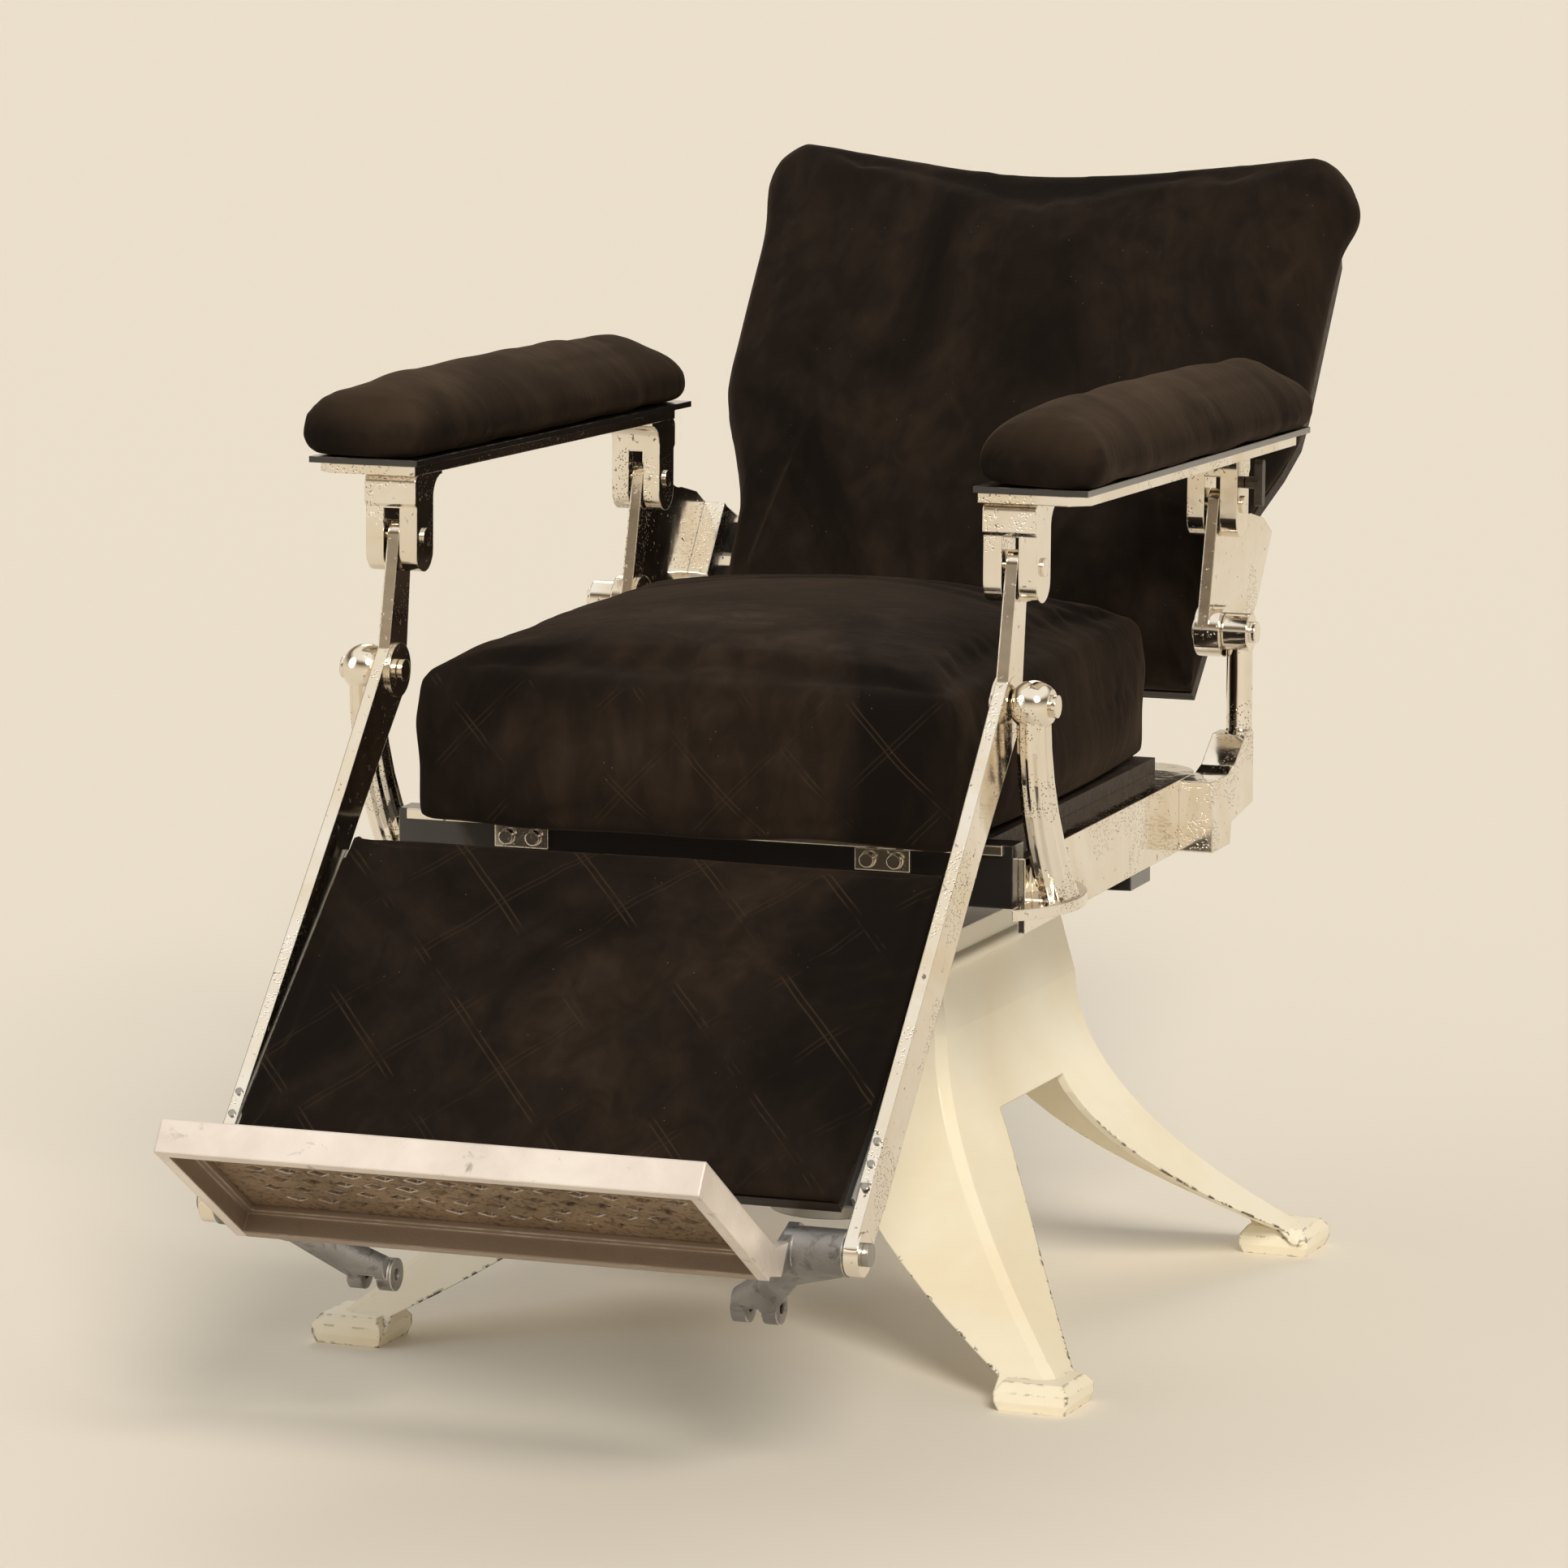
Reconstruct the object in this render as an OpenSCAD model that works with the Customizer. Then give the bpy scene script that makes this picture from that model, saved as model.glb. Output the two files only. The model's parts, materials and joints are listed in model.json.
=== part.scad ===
// Barber chair: a cast base with four splayed legs, a lifting and turning ram, a
// plated seat frame on four posts, and a back, armrests and legrest that are
// linked as a parallelogram, so that they recline together.
// The chair faces -Y and is drawn half reclined. The origin is on the floor,
// under the middle of the ram.

/* [Base] */
// Turn of the base under the seat, in degrees
base_turn = -2; // [-10:1:10]
// Height of the cast base
base_h = 337; // [315:1:360]
// Half width of the base at its top edge
base_top_half = 144; // [135:1:150]
// Half width of the base where its legs start to flare
base_waist_half = 159; // [152:1:166]
// Height at which the legs start to flare
base_waist_z = 262; // [250:1:280]
// Half spread of the leg corners above the feet
foot_reach = 312; // [280:1:340]
// Wall of the casting
base_wall = 9; // [7:0.5:12]
// Height of the arches between the legs
arch_h = 188; // [170:1:205]
// Half width of the flat top of each arch
arch_top_half = 75; // [60:1:90]
// Half width of each arch at the feet
arch_foot_half = 266; // [250:1:275]
// Width of a foot
foot_w = 62; // [50:1:75]
// Height of a foot
foot_h = 24; // [18:1:30]
// Thickness of the plate that closes the top of the casting
base_plate_t = 12; // [9:1:16]

/* [Lift] */
// Outer radius of the pump cylinder
cyl_r = 55; // [50:1:60]
// Wall of the pump cylinder
cyl_wall = 10; // [8:1:12]
// Height of the underside of the pump cylinder
cyl_bottom_z = 75; // [60:1:90]
// Radius of the cylinder flange
flange_r = 84; // [80:1:90]
// Thickness of the cylinder flange
flange_t = 12; // [9:1:14]
// Radius of the ram
ram_r = 36; // [32:1:38]
// Height of the piston at the foot of the ram
piston_h = 24; // [20:1:30]
// Length of the guide bush in the cylinder mouth
gland_h = 30; // [20:1:36]
// Gap between the cylinder flange and the saddle at the lowest seat height
lift_gap = 2; // [1.5:0.5:6]
// Radius of the spindle on which the seat turns
spindle_r = 20; // [16:1:24]
// Thickness of the thrust washer
washer_t = 6; // [4:1:8]

/* [Seat frame] */
// Gap between the levers and the outer faces of the side rails
rail_gap = 1; // [0.5:0.5:3]
// Height of a side rail
rail_h = 60; // [50:1:66]
// Thickness of the rail's plate
rail_t = 6; // [5:0.5:8]
// Rise of the rails' underside above the cast base
frame_rise = 41; // [38:1:46]
// Distance of the rails' front ends behind the front pivot
rail_set_back = 27; // [22:1:36]
// Distance of the frame's rear face ahead of the rear pivot
rail_set_ahead = 19; // [13:1:26]
// Width of the shelf along the top of the rails
shelf_w = 60; // [50:1:70]
// Depth of the front cross-member
front_bar_d = 26; // [22:1:30]
// Thickness of the seat board
seat_board_t = 12; // [9:1:14]

/* [Cushions] */
// Width of the seat cushion
seat_w = 486; // [470:1:490]
// Front face of the seat cushion
seat_front_y = -372; // [-380:1:-360]
// Rear face of the seat cushion
seat_rear_y = 150; // [140:1:155]
// Height of the seat cushion at its sides
seat_side_h = 125; // [112:1:135]
// Rise of the seat cushion's crown above its sides
seat_crown = 30; // [22:1:40]
// Height of the back cushion along its own slope
back_h = 529; // [505:1:545]
// Thickness of the back cushion at its sides
back_side_t = 72; // [60:1:78]
// Bulge of the back cushion's face
back_crown = 22; // [15:1:28]
// Gap between the lower end of the back cushion and the back arms
back_low_gap = 35; // [30:1:42]
// Overhang of the back cushion's widest part past the inner faces of its arms
back_wide_out = 15; // [6:1:19]
// Depth of the dip in the top edge of the back cushion
back_dip = 18; // [10:1:25]
// Thickness of the board behind the back cushion
back_board_t = 12; // [9:1:15]
// Depth of the stitched diamonds
quilt_d = 4; // [2:0.5:5]

/* [Recline linkage] */
// Front pivot, measured forward of the ram
front_pivot_y = -327; // [-335:1:-320]
// Height of the front pivot above the underside of the rails
front_pivot_rise = 187; // [182:1:196]
// Rear pivot, measured behind the ram
rear_pivot_y = 207; // [202:1:212]
// Height of the rear pivot above the underside of the rails
rear_pivot_rise = 173; // [168:1:178]
// Rise from a frame pivot to the armrest pin above it
link_h = 106; // [100:1:112]
// Lean of the upright links towards the rear
link_lean = 20; // [15:1:25]
// Gap between the seat cushion and the levers and back arms
lever_gap = 14; // [13:0.5:16]
// Thickness of the levers and of the back arms
lever_t = 10; // [8:0.5:11]
// Radius of the lever hubs
hub_r = 22; // [20:1:24]
// Radius of the pivot bolts
bolt_r = 6; // [5:0.5:8]
// Radius of the armrest pins
pin_r = 5; // [4:0.5:6]
// Gap around a bolt or a pin in its hole
fit_gap = 0.05; // [0.03:0.01:0.08]
// Gap between two faces that slide or turn past each other
run_gap = 0.4; // [0.3:0.1:0.6]

/* [Back] */
// Slope of the back, from upright, as drawn
back_lean = 37.6; // [36:0.1:39]
// Distance of the back's lower front edge behind the rear pivot
back_foot_back = 48; // [43:1:53]
// Distance of the back's lower front edge below the rear pivot
back_foot_drop = 37; // [33:1:43]

/* [Armrests] */
// Width of an armrest
arm_w = 88; // [80:1:92]
// Thickness of the armrest plate
arm_t = 8; // [6:1:10]
// Height of the armrest plate above the armrest pins
arm_rise = 51; // [47:1:55]
// Overhang of the plate in front of the front pin
arm_front = 26; // [22:1:30]
// Overhang of the plate behind the rear pin
arm_rear = 28; // [24:1:34]
// Width of an arm pad
arm_pad_w = 108; // [98:1:112]
// Height of the arm pad at its front end
arm_pad_front_h = 57; // [50:1:60]
// Height of the arm pad at its hump
arm_pad_hump_h = 65; // [61:1:73]
// Thickness of the board under an arm pad
arm_board_t = 5; // [4:0.5:7]
// Width of a clevis bracket under the armrest
clevis_w = 44; // [40:1:46]
// Depth of a clevis bracket
clevis_d = 34; // [30:1:38]

/* [Legrest] */
// Slope of the legrest levers, from upright, as drawn
leg_angle = 43.6; // [42:0.1:45]
// Length of the legrest levers below the front pivot
leg_l = 503; // [490:1:515]
// Depth of the legrest levers
leg_bar_d = 38; // [34:1:42]
// Distance from the front pivot to the upper edge of the legrest pad
leg_pad_start = 152; // [145:1:160]
// Distance from the lower edge of the legrest pad to the footrest's pivot
leg_pad_end = 23; // [19:1:33]
// Extra slope of the legrest pad from its levers
leg_pad_tilt = 6.6; // [5:0.1:7.5]
// Thickness of the legrest padding
leg_pad_t = 16; // [12:1:18]
// Thickness of the legrest board
leg_board_t = 10; // [8:1:12]

/* [Footrest] */
// Upward slope of the footplate, as drawn
foot_slope = 33.2; // [32:0.1:34]
// Gap between the side of the footplate and a lever
foot_side_gap = 41; // [37:1:45]
// Front edge of the footplate, measured from its pivot
foot_plate_l = 218; // [205:1:230]
// Rear edge of the footplate, measured from its pivot
foot_plate_back = 46; // [44:1:52]
// Height of the footplate's rim
rim_h = 27; // [22:1:30]
// Thickness of the footplate's rim
rim_t = 9; // [7:1:11]
// Depth of the tread below the pivot
tread_drop = 16; // [15:1:18]
// Thickness of the pierced tread
tread_t = 6; // [5:0.5:8]
// Side to side spacing of the holes in the tread
tread_pitch = 26; // [22:1:34]
// Radius of a footrest boss
boss_r = 18; // [16:1:19]
// Set-in of the tail clevises from the sides of the footplate
tail_set_in = 57; // [46:1:66]
// Length of the tails behind the footrest pivot
tail_l = 92; // [80:1:100]
// Radius of the bores in the tail clevises
tail_bore_r = 5; // [4:0.5:6]

/* [Hidden] */
$fn = 48;

// One overrun for all cuts
over = 2;

// Places that the parts share
lever_in = seat_w / 2 + lever_gap;
lever_out = lever_in + lever_t;
frame_half = lever_out + rail_gap;
rail_z = base_h + frame_rise;
rail_front_y = front_pivot_y + rail_set_back;
rail_rear_y = rear_pivot_y - rail_set_ahead;
front_pivot_z = rail_z + front_pivot_rise;
rear_pivot_z = rail_z + rear_pivot_rise;
back_foot_y = rear_pivot_y + back_foot_back;
back_foot_z = rear_pivot_z - back_foot_drop;
back_low_half = lever_in - back_low_gap;
back_wide_half = lever_in + back_wide_out;
leg_pad_h = leg_l - leg_pad_start - leg_pad_end;
foot_half = lever_in - foot_side_gap;
tail_x = foot_half - tail_set_in;

// Steps of a drawn arc
arc_steps = 20;

cast_white = "ivory";
black = [0.06, 0.05, 0.05];
velvet = [0.09, 0.07, 0.06];
chrome = [0.82, 0.80, 0.77];
steel = [0.62, 0.62, 0.62];
dull_alloy = [0.58, 0.56, 0.53];
wood = [0.42, 0.20, 0.12];
bronze = [0.72, 0.52, 0.28];
rubber = [0.1, 0.1, 0.1];

function lerp(a, b, t) = a + (b - a) * t;
function arc(c, r, a0, a1) =
    [for (i = [0:arc_steps]) let (a = lerp(a0, a1, i / arc_steps)) c + r * [cos(a), sin(a)]];

// Outline of a bar from a to b, with a round end at each
function strap(a, b, ra, rb) =
    let (
        d = b - a,
        dir = atan2(d.y, d.x),
        off = acos((ra - rb) / norm(d))
    )
    concat(arc(a, ra, dir + off, dir + 360 - off), arc(b, rb, dir - off, dir + off));

// A solid through rings that each have the same number of points, lowest first
module loft(rings) {
    n = len(rings[0]);
    last = (len(rings) - 1) * n;
    side = [for (k = [0:len(rings) - 2], i = [0:n - 1])
        let (a = k * n + i, b = k * n + (i + 1) % n)
        each [[a, a + n, b + n], [a, b + n, b]]];
    lid = [for (i = [n - 1:-1:0]) last + i];
    floor_face = [for (i = [0:n - 1]) i];
    polyhedron([for (r = rings) each r], concat(side, [lid, floor_face]), convexity = 6);
}

// A side view in Y and Z, given a thickness from x0 to x1
module slab(x0, x1) {
    translate([x0, 0, 0])
        rotate([90, 0, 90])
            linear_extrude(x1 - x0)
                children();
}

// A round rod along X, at a place in Y and Z
module rod(x0, x1, at, r) {
    translate([x0, at.x, at.y])
        rotate([0, 90, 0])
            cylinder(h = x1 - x0, r = r);
}

// Both sides of the chair, from the right-hand one
module both_sides() {
    children();
    mirror([1, 0, 0])
        children();
}

// A padded solid. plan gives a place for u and v from -1 to 1 at an inset, levels
// lists the height and inset of each ring up the sides, and top gives the height
module pad(nx, ny, plan, levels, top, top_inset) {
    edge = concat(
        [for (i = [0:nx - 1]) [i, 0]],
        [for (j = [0:ny - 1]) [nx, j]],
        [for (i = [nx:-1:1]) [i, ny]],
        [for (j = [ny:-1:1]) [0, j]]);
    n = len(edge);
    first = len(levels) * n;
    function at(i, j) = first + j * (nx + 1) + i;
    function spot(i, j, inset) = plan(2 * i / nx - 1, 2 * j / ny - 1, inset);
    sides = [for (lv = levels, p = edge) concat(spot(p.x, p.y, lv[1]), [lv[0]])];
    grid = [for (j = [0:ny], i = [0:nx]) concat(spot(i, j, top_inset), [top(i, j)])];
    walls = [for (k = [0:len(levels) - 2], m = [0:n - 1])
        let (a = k * n + m, b = k * n + (m + 1) % n)
        each [[a, a + n, b + n], [a, b + n, b]]];
    brim = [for (m = [0:n - 1])
        let (
            a = (len(levels) - 1) * n + m,
            b = (len(levels) - 1) * n + (m + 1) % n,
            p = edge[m],
            q = edge[(m + 1) % n]
        )
        each [[a, at(p.x, p.y), at(q.x, q.y)], [a, at(q.x, q.y), b]]];
    face = [for (j = [0:ny - 1], i = [0:nx - 1])
        let (a = at(i, j), b = at(i + 1, j), c = at(i + 1, j + 1), d = at(i, j + 1))
        each (i + j) % 2 == 0 ? [[a, d, c], [a, c, b]] : [[a, d, b], [b, d, c]]];
    middle = first + (nx + 1) * (ny + 1);
    under = [for (m = [0:n - 1]) [middle, m, (m + 1) % n]];
    centre = concat(plan(0, 0, 0), [levels[0][0]]);
    polyhedron(concat(sides, grid, [centre]), concat(under, walls, brim, face), convexity = 4);
}

// Share of the full height at a grid point of diamond stitching: none on a seam
function diamond_share(i, j) =
    (i + j) % 4 == 0 || (i - j) % 4 == 0 ? 0 : (i + j) % 2 == 1 ? 0.7 : 1;

// Falls from one in the middle of an edge-to-edge run to nothing at its ends
function swell(u, power) = 1 - pow(abs(u), power);

// Base casting

corner_chamfer = 8;
ring_count = 18;
base_flare_power = 1.85;

// Half width of the casting at a height
function base_half(z) =
    z >= base_waist_z
        ? lerp(base_waist_half, base_top_half, (z - base_waist_z) / (base_h - base_waist_z))
        : base_waist_half + (foot_reach - base_waist_half)
            * pow((base_waist_z - z) / (base_waist_z - foot_h), base_flare_power);

function square_ring(half, z) =
    let (a = half, b = half - corner_chamfer)
    [[-b, -a, z], [b, -a, z], [a, -b, z], [a, b, z], [b, a, z], [-b, a, z], [-a, b, z], [-a, -b, z]];

// The flared outer form, drawn in by a wall, from one height to another
module base_form(wall, z0, z1) {
    flare = [for (i = [0:ring_count]) lerp(z0, base_waist_z, i / ring_count)];
    loft(concat([for (z = flare) square_ring(base_half(z) - wall, z)],
        [square_ring(base_half(z1) - wall, z1)]));
}

arch_steps = 10;
arch_power_share = 1.65;

// The opening between two legs, seen square on, with its top in the middle
module arch_outline() {
    side = [for (i = [1:arch_steps])
        let (s = i / arch_steps)
        [lerp(arch_top_half, arch_foot_half, pow(s, arch_power_share)),
            lerp(arch_h, foot_h, s)]];
    down = [[arch_foot_half, -over], [-arch_foot_half, -over]];
    left = [for (i = [arch_steps - 1:-1:0]) [-side[i].x, side[i].y]];
    polygon(concat([[-arch_top_half, arch_h], [arch_top_half, arch_h]], side, down, left));
}

foot_chamfer = 6;
foot_out_share = 0.3;
foot_out = foot_reach + foot_w * foot_out_share;

// One foot: a low block, drawn in at its top and its sole
module foot_block() {
    mid = foot_out - foot_w / 2;
    function ring(half, z) = [for (p = [[-1, -1], [1, -1], [1, 1], [-1, 1]])
        [mid + p.x * half, mid + p.y * half, z]];
    loft([
        ring(foot_w / 2 - foot_chamfer / 2, 0),
        ring(foot_w / 2, foot_h / 3),
        ring(foot_w / 2, foot_h * 2 / 3),
        ring(foot_w / 2 - foot_chamfer, foot_h)]);
}

lip_r = 6;
lip_below_top = 23;
lip_front_y = -125;
lip_rear_y = 40;

// A rounded lip cast on the right-hand face, below the top edge
module base_lip() {
    z = base_h - lip_below_top;
    translate([base_half(z), lip_front_y, z])
        rotate([-90, 0, 0])
            cylinder(h = lip_rear_y - lip_front_y, r = lip_r);
    for (y = [lip_front_y, lip_rear_y])
        translate([base_half(z), y, z])
            sphere(r = lip_r);
}

flange_bolt_r = 5;
flange_bolt_ring = 70;
base_hole_gap = 1;

// The base, turned a little under the seat
module in_base() {
    rotate(base_turn)
        children();
}

module at_flange_bolts() {
    in_base()
        for (a = [45:90:315])
            rotate(a)
                translate([flange_bolt_ring, 0, 0])
                    children();
}

module base_casting() {
    color(cast_white) {
        difference() {
            in_base() {
                difference() {
                    base_form(0, foot_h / 2, base_h);
                    base_form(base_wall, foot_h / 2 - over, base_h - base_plate_t);
                    for (a = [0, 90])
                        rotate([90, 0, a])
                            linear_extrude(foot_out * 3, center = true)
                                arch_outline();
                }
                for (a = [0:90:270])
                    rotate(a)
                        foot_block();
                difference() {
                    base_lip();
                    base_form(base_wall, base_waist_z, base_h);
                }
            }
            translate([0, 0, base_h - base_plate_t - over])
                cylinder(h = base_plate_t + over * 2, r = cyl_r + base_hole_gap);
            at_flange_bolts()
                translate([0, 0, base_h - base_plate_t - over])
                    cylinder(h = base_plate_t + over * 2, r = flange_bolt_r + fit_gap);
        }
    }
}

// Lift: the pump cylinder hangs in the casting, and the ram slides in it

flange_top_z = base_h + flange_t;
saddle_low_z = flange_top_z + lift_gap;
cyl_in_r = cyl_r - cyl_wall;
cyl_floor_z = cyl_bottom_z + cyl_wall;
gland_step_share = 0.3;
gland_r = cyl_in_r + cyl_wall * gland_step_share;
gland_z = flange_top_z - gland_h;

module pump_cylinder() {
    color(steel)
        difference() {
            union() {
                translate([0, 0, cyl_bottom_z])
                    cylinder(h = base_h - cyl_bottom_z + over, r = cyl_r);
                translate([0, 0, base_h])
                    cylinder(h = flange_t, r = flange_r);
            }
            translate([0, 0, cyl_floor_z])
                cylinder(h = gland_z - cyl_floor_z + over, r = cyl_in_r);
            translate([0, 0, gland_z])
                cylinder(h = gland_h + over, r = gland_r + fit_gap);
            at_flange_bolts()
                translate([0, 0, base_h - over])
                    cylinder(h = flange_t + over * 2, r = flange_bolt_r + fit_gap);
        }
}

flange_head_r = 9;
flange_head_h = 6;

module flange_bolts() {
    color(steel)
        at_flange_bolts() {
            translate([0, 0, base_h - base_plate_t])
                cylinder(h = base_plate_t + flange_t, r = flange_bolt_r);
            translate([0, 0, flange_top_z])
                cylinder(h = flange_head_h, r = flange_head_r, $fn = 6);
        }
}

// The bush rests on the step in the mouth of the cylinder
module gland_bush() {
    color(bronze)
        translate([0, 0, gland_z])
            difference() {
                cylinder(h = gland_h, r = gland_r);
                translate([0, 0, -over])
                    cylinder(h = gland_h + over * 2, r = ram_r + fit_gap);
            }
}

piston_z = cyl_floor_z + run_gap;
seal_h = 8;
seal_d = 5;
spindle_top_z = rail_z - run_gap;
ram_top_z = saddle_low_z + run_gap + washer_t / 2;

module ram() {
    piston_r = cyl_in_r - fit_gap;
    groove_r = piston_r - seal_d;
    color(chrome)
        rotate_extrude()
            polygon([
                [0, piston_z],
                [piston_r, piston_z],
                [piston_r, piston_z + (piston_h - seal_h) / 2],
                [groove_r, piston_z + (piston_h - seal_h) / 2],
                [groove_r, piston_z + (piston_h + seal_h) / 2],
                [piston_r, piston_z + (piston_h + seal_h) / 2],
                [piston_r, piston_z + piston_h],
                [ram_r, piston_z + piston_h],
                [ram_r, ram_top_z],
                [spindle_r, ram_top_z],
                [spindle_r, spindle_top_z],
                [0, spindle_top_z]]);
}

module piston_seal() {
    color(rubber)
        translate([0, 0, piston_z + (piston_h - seal_h) / 2 + fit_gap])
            difference() {
                cylinder(h = seal_h - fit_gap * 2, r = cyl_in_r - fit_gap);
                translate([0, 0, -over])
                    cylinder(h = seal_h + over * 2, r = cyl_in_r - seal_d);
            }
}

module thrust_washer() {
    color(bronze)
        translate([0, 0, ram_top_z])
            difference() {
                cylinder(h = washer_t, r = ram_r - fit_gap);
                translate([0, 0, -over])
                    cylinder(h = washer_t + over * 2, r = spindle_r + fit_gap);
            }
}

// Saddle: the cast spider that carries the seat frame on the spindle

saddle_boss_r = 58;
saddle_hub_r = 92;
saddle_plate_t = 12;
saddle_arm_half = 52;
saddle_rib_t = 14;

rib_l_share = 0.95;

module saddle() {
    rib_z = flange_top_z + flange_head_h + lift_gap;
    plate_z = rail_z - saddle_plate_t;
    color(black)
        difference() {
            union() {
                translate([0, 0, saddle_low_z])
                    cylinder(h = rail_z - saddle_low_z, r = saddle_boss_r);
                translate([0, 0, plate_z])
                    cylinder(h = saddle_plate_t, r = saddle_hub_r);
                translate([0, 0, plate_z])
                    linear_extrude(saddle_plate_t)
                        polygon([
                            [-frame_half, -saddle_arm_half / 2],
                            [-saddle_hub_r / 2, -saddle_arm_half],
                            [saddle_hub_r / 2, -saddle_arm_half],
                            [frame_half, -saddle_arm_half / 2],
                            [frame_half, saddle_arm_half / 2],
                            [saddle_hub_r / 2, saddle_arm_half],
                            [-saddle_hub_r / 2, saddle_arm_half],
                            [-frame_half, saddle_arm_half / 2]]);
                for (a = [0:90:270])
                    rotate(a)
                        translate([0, -saddle_rib_t / 2, rib_z])
                            cube([saddle_hub_r * rib_l_share, saddle_rib_t, rail_z - rib_z]);
            }
            translate([0, 0, saddle_low_z - over])
                cylinder(h = ram_top_z + washer_t - saddle_low_z + over, r = ram_r + fit_gap);
            translate([0, 0, saddle_low_z])
                cylinder(h = rail_z - saddle_low_z + over, r = spindle_r + fit_gap);
        }
}

// Seat frame

rail_top_z = rail_z + rail_h;
frame_in = frame_half - rail_t;
corner_r = 48;
post_bolt_r = 4;
post_w = 30;
front_bolt_set_back = 52;
front_bolt_step = 28;
front_bolt_rise = 28;
rear_bolt_set_ahead = 77;
rear_bolt_step = 18;
rear_bolt_rise = 30;
front_rail_bolts = [for (i = [0, 1])
    [front_pivot_y + front_bolt_set_back + i * front_bolt_step, rail_z + front_bolt_rise]];
rear_rail_bolts = [for (i = [1, 0])
    [rear_pivot_y - rear_bolt_set_ahead - i * rear_bolt_step, rail_z + rear_bolt_rise]];
frame_bolt_x = frame_half + post_w * 0.36;

// The side rail ends where the rear cross rail's round corner begins
module side_rail_solid() {
    rail_l = rail_rear_y - corner_r - rail_front_y;
    color(chrome)
        difference() {
            union() {
                translate([frame_in, rail_front_y, rail_z])
                    cube([rail_t, rail_l, rail_h]);
                translate([frame_half - shelf_w, rail_front_y, rail_top_z - rail_t])
                    cube([shelf_w, rail_l, rail_t]);
            }
            for (p = concat(front_rail_bolts, rear_rail_bolts))
                rod(frame_in - over, frame_half + over, p, post_bolt_r + fit_gap);
        }
}

module side_rail_right() {
    side_rail_solid();
}

module side_rail_left() {
    mirror([1, 0, 0])
        side_rail_solid();
}

// Plan of the rear cross rail at an inset from its outer face
module rear_rail_plan(inset, width) {
    turn = frame_half - corner_r;
    function edge(d) = concat(
        arc([turn, rail_rear_y - corner_r], corner_r - d, 0, 90),
        arc([-turn, rail_rear_y - corner_r], corner_r - d, 90, 180));
    outer = edge(inset);
    inner = edge(inset + min(width, corner_r - rail_t));
    polygon(concat(outer, [for (i = [len(inner) - 1:-1:0]) inner[i]]));
}

module rear_cross_rail() {
    color(chrome) {
        translate([0, 0, rail_z])
            linear_extrude(rail_h)
                rear_rail_plan(0, rail_t);
        translate([0, 0, rail_top_z - rail_t])
            linear_extrude(rail_t)
                rear_rail_plan(0, shelf_w);
    }
}

front_bar_y = rail_front_y - front_bar_d / 2;
front_bar_low_share = 0.36;
front_bar_low = rail_z + rail_h * front_bar_low_share;
front_bar_top = rail_top_z + seat_board_t;

module front_cross_member() {
    bar_h = front_bar_top - front_bar_low;
    color(black)
        translate([-frame_in, front_bar_y, front_bar_low])
            difference() {
                cube([frame_in * 2, front_bar_d, bar_h]);
                translate([rail_t, rail_t, -over])
                    cube([frame_in * 2 - rail_t * 2, front_bar_d, bar_h - rail_t + over]);
                for (s = [0, 1])
                    translate([s * (frame_in * 2 - shelf_w + rail_t) - over, front_bar_d / 2 - run_gap,
                        rail_top_z - rail_t - run_gap - front_bar_low])
                        cube([shelf_w - rail_t + over * 2, front_bar_d, rail_t + run_gap]);
            }
}

strip_t = 3;
strip_h = 8;

module front_trim_strip() {
    color(chrome)
        translate([-frame_in + strip_h, front_bar_y - strip_t, front_bar_top - strip_h])
            cube([frame_in * 2 - strip_h * 2, strip_t, strip_h]);
}

clip_x_share = 0.575;
clip_x = frame_half * clip_x_share;
clip_w = 46;
clip_h = 18;
clip_t = 3;
clip_bolt_r = 6;

module seat_clips() {
    color(chrome)
        for (s = [-1, 1])
            translate([s * clip_x, front_bar_y, front_bar_top - strip_h - clip_h]) {
                translate([-clip_w / 2, -clip_t, 0])
                    cube([clip_w, clip_t, clip_h]);
                for (b = [-1, 1])
                    translate([b * clip_w / 4, -clip_t, clip_h / 2])
                        rotate([90, 0, 0])
                            cylinder(h = clip_t * 2, r = clip_bolt_r);
            }
}

// Posts

post_in = frame_half + run_gap;
post_mid_x = post_in + post_w / 2;
front_face_x = post_in + post_w;
flute_d = 1.6;
post_points = 24;
post_rings = 6;
post_d_top = 34;
post_d_foot = 52;
post_slim_share = 0.88;
front_post_sweep = 70;
head_r = 20;
front_foot_share = 0.33;
front_foot_z = rail_z + rail_h * front_foot_share;
leaf_l = 150;
leaf_w = 32;
leaf_t = 9;

// A fluted oval at a height, with its middle at y
function flute_ring(x, y, z, half_w, half_d) =
    [for (i = [0:post_points - 1])
        let (a = i * 360 / post_points, cut = i % 2 * flute_d)
        [x + (half_w - cut) * cos(a), y + (half_d - cut) * sin(a), z]];

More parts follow.
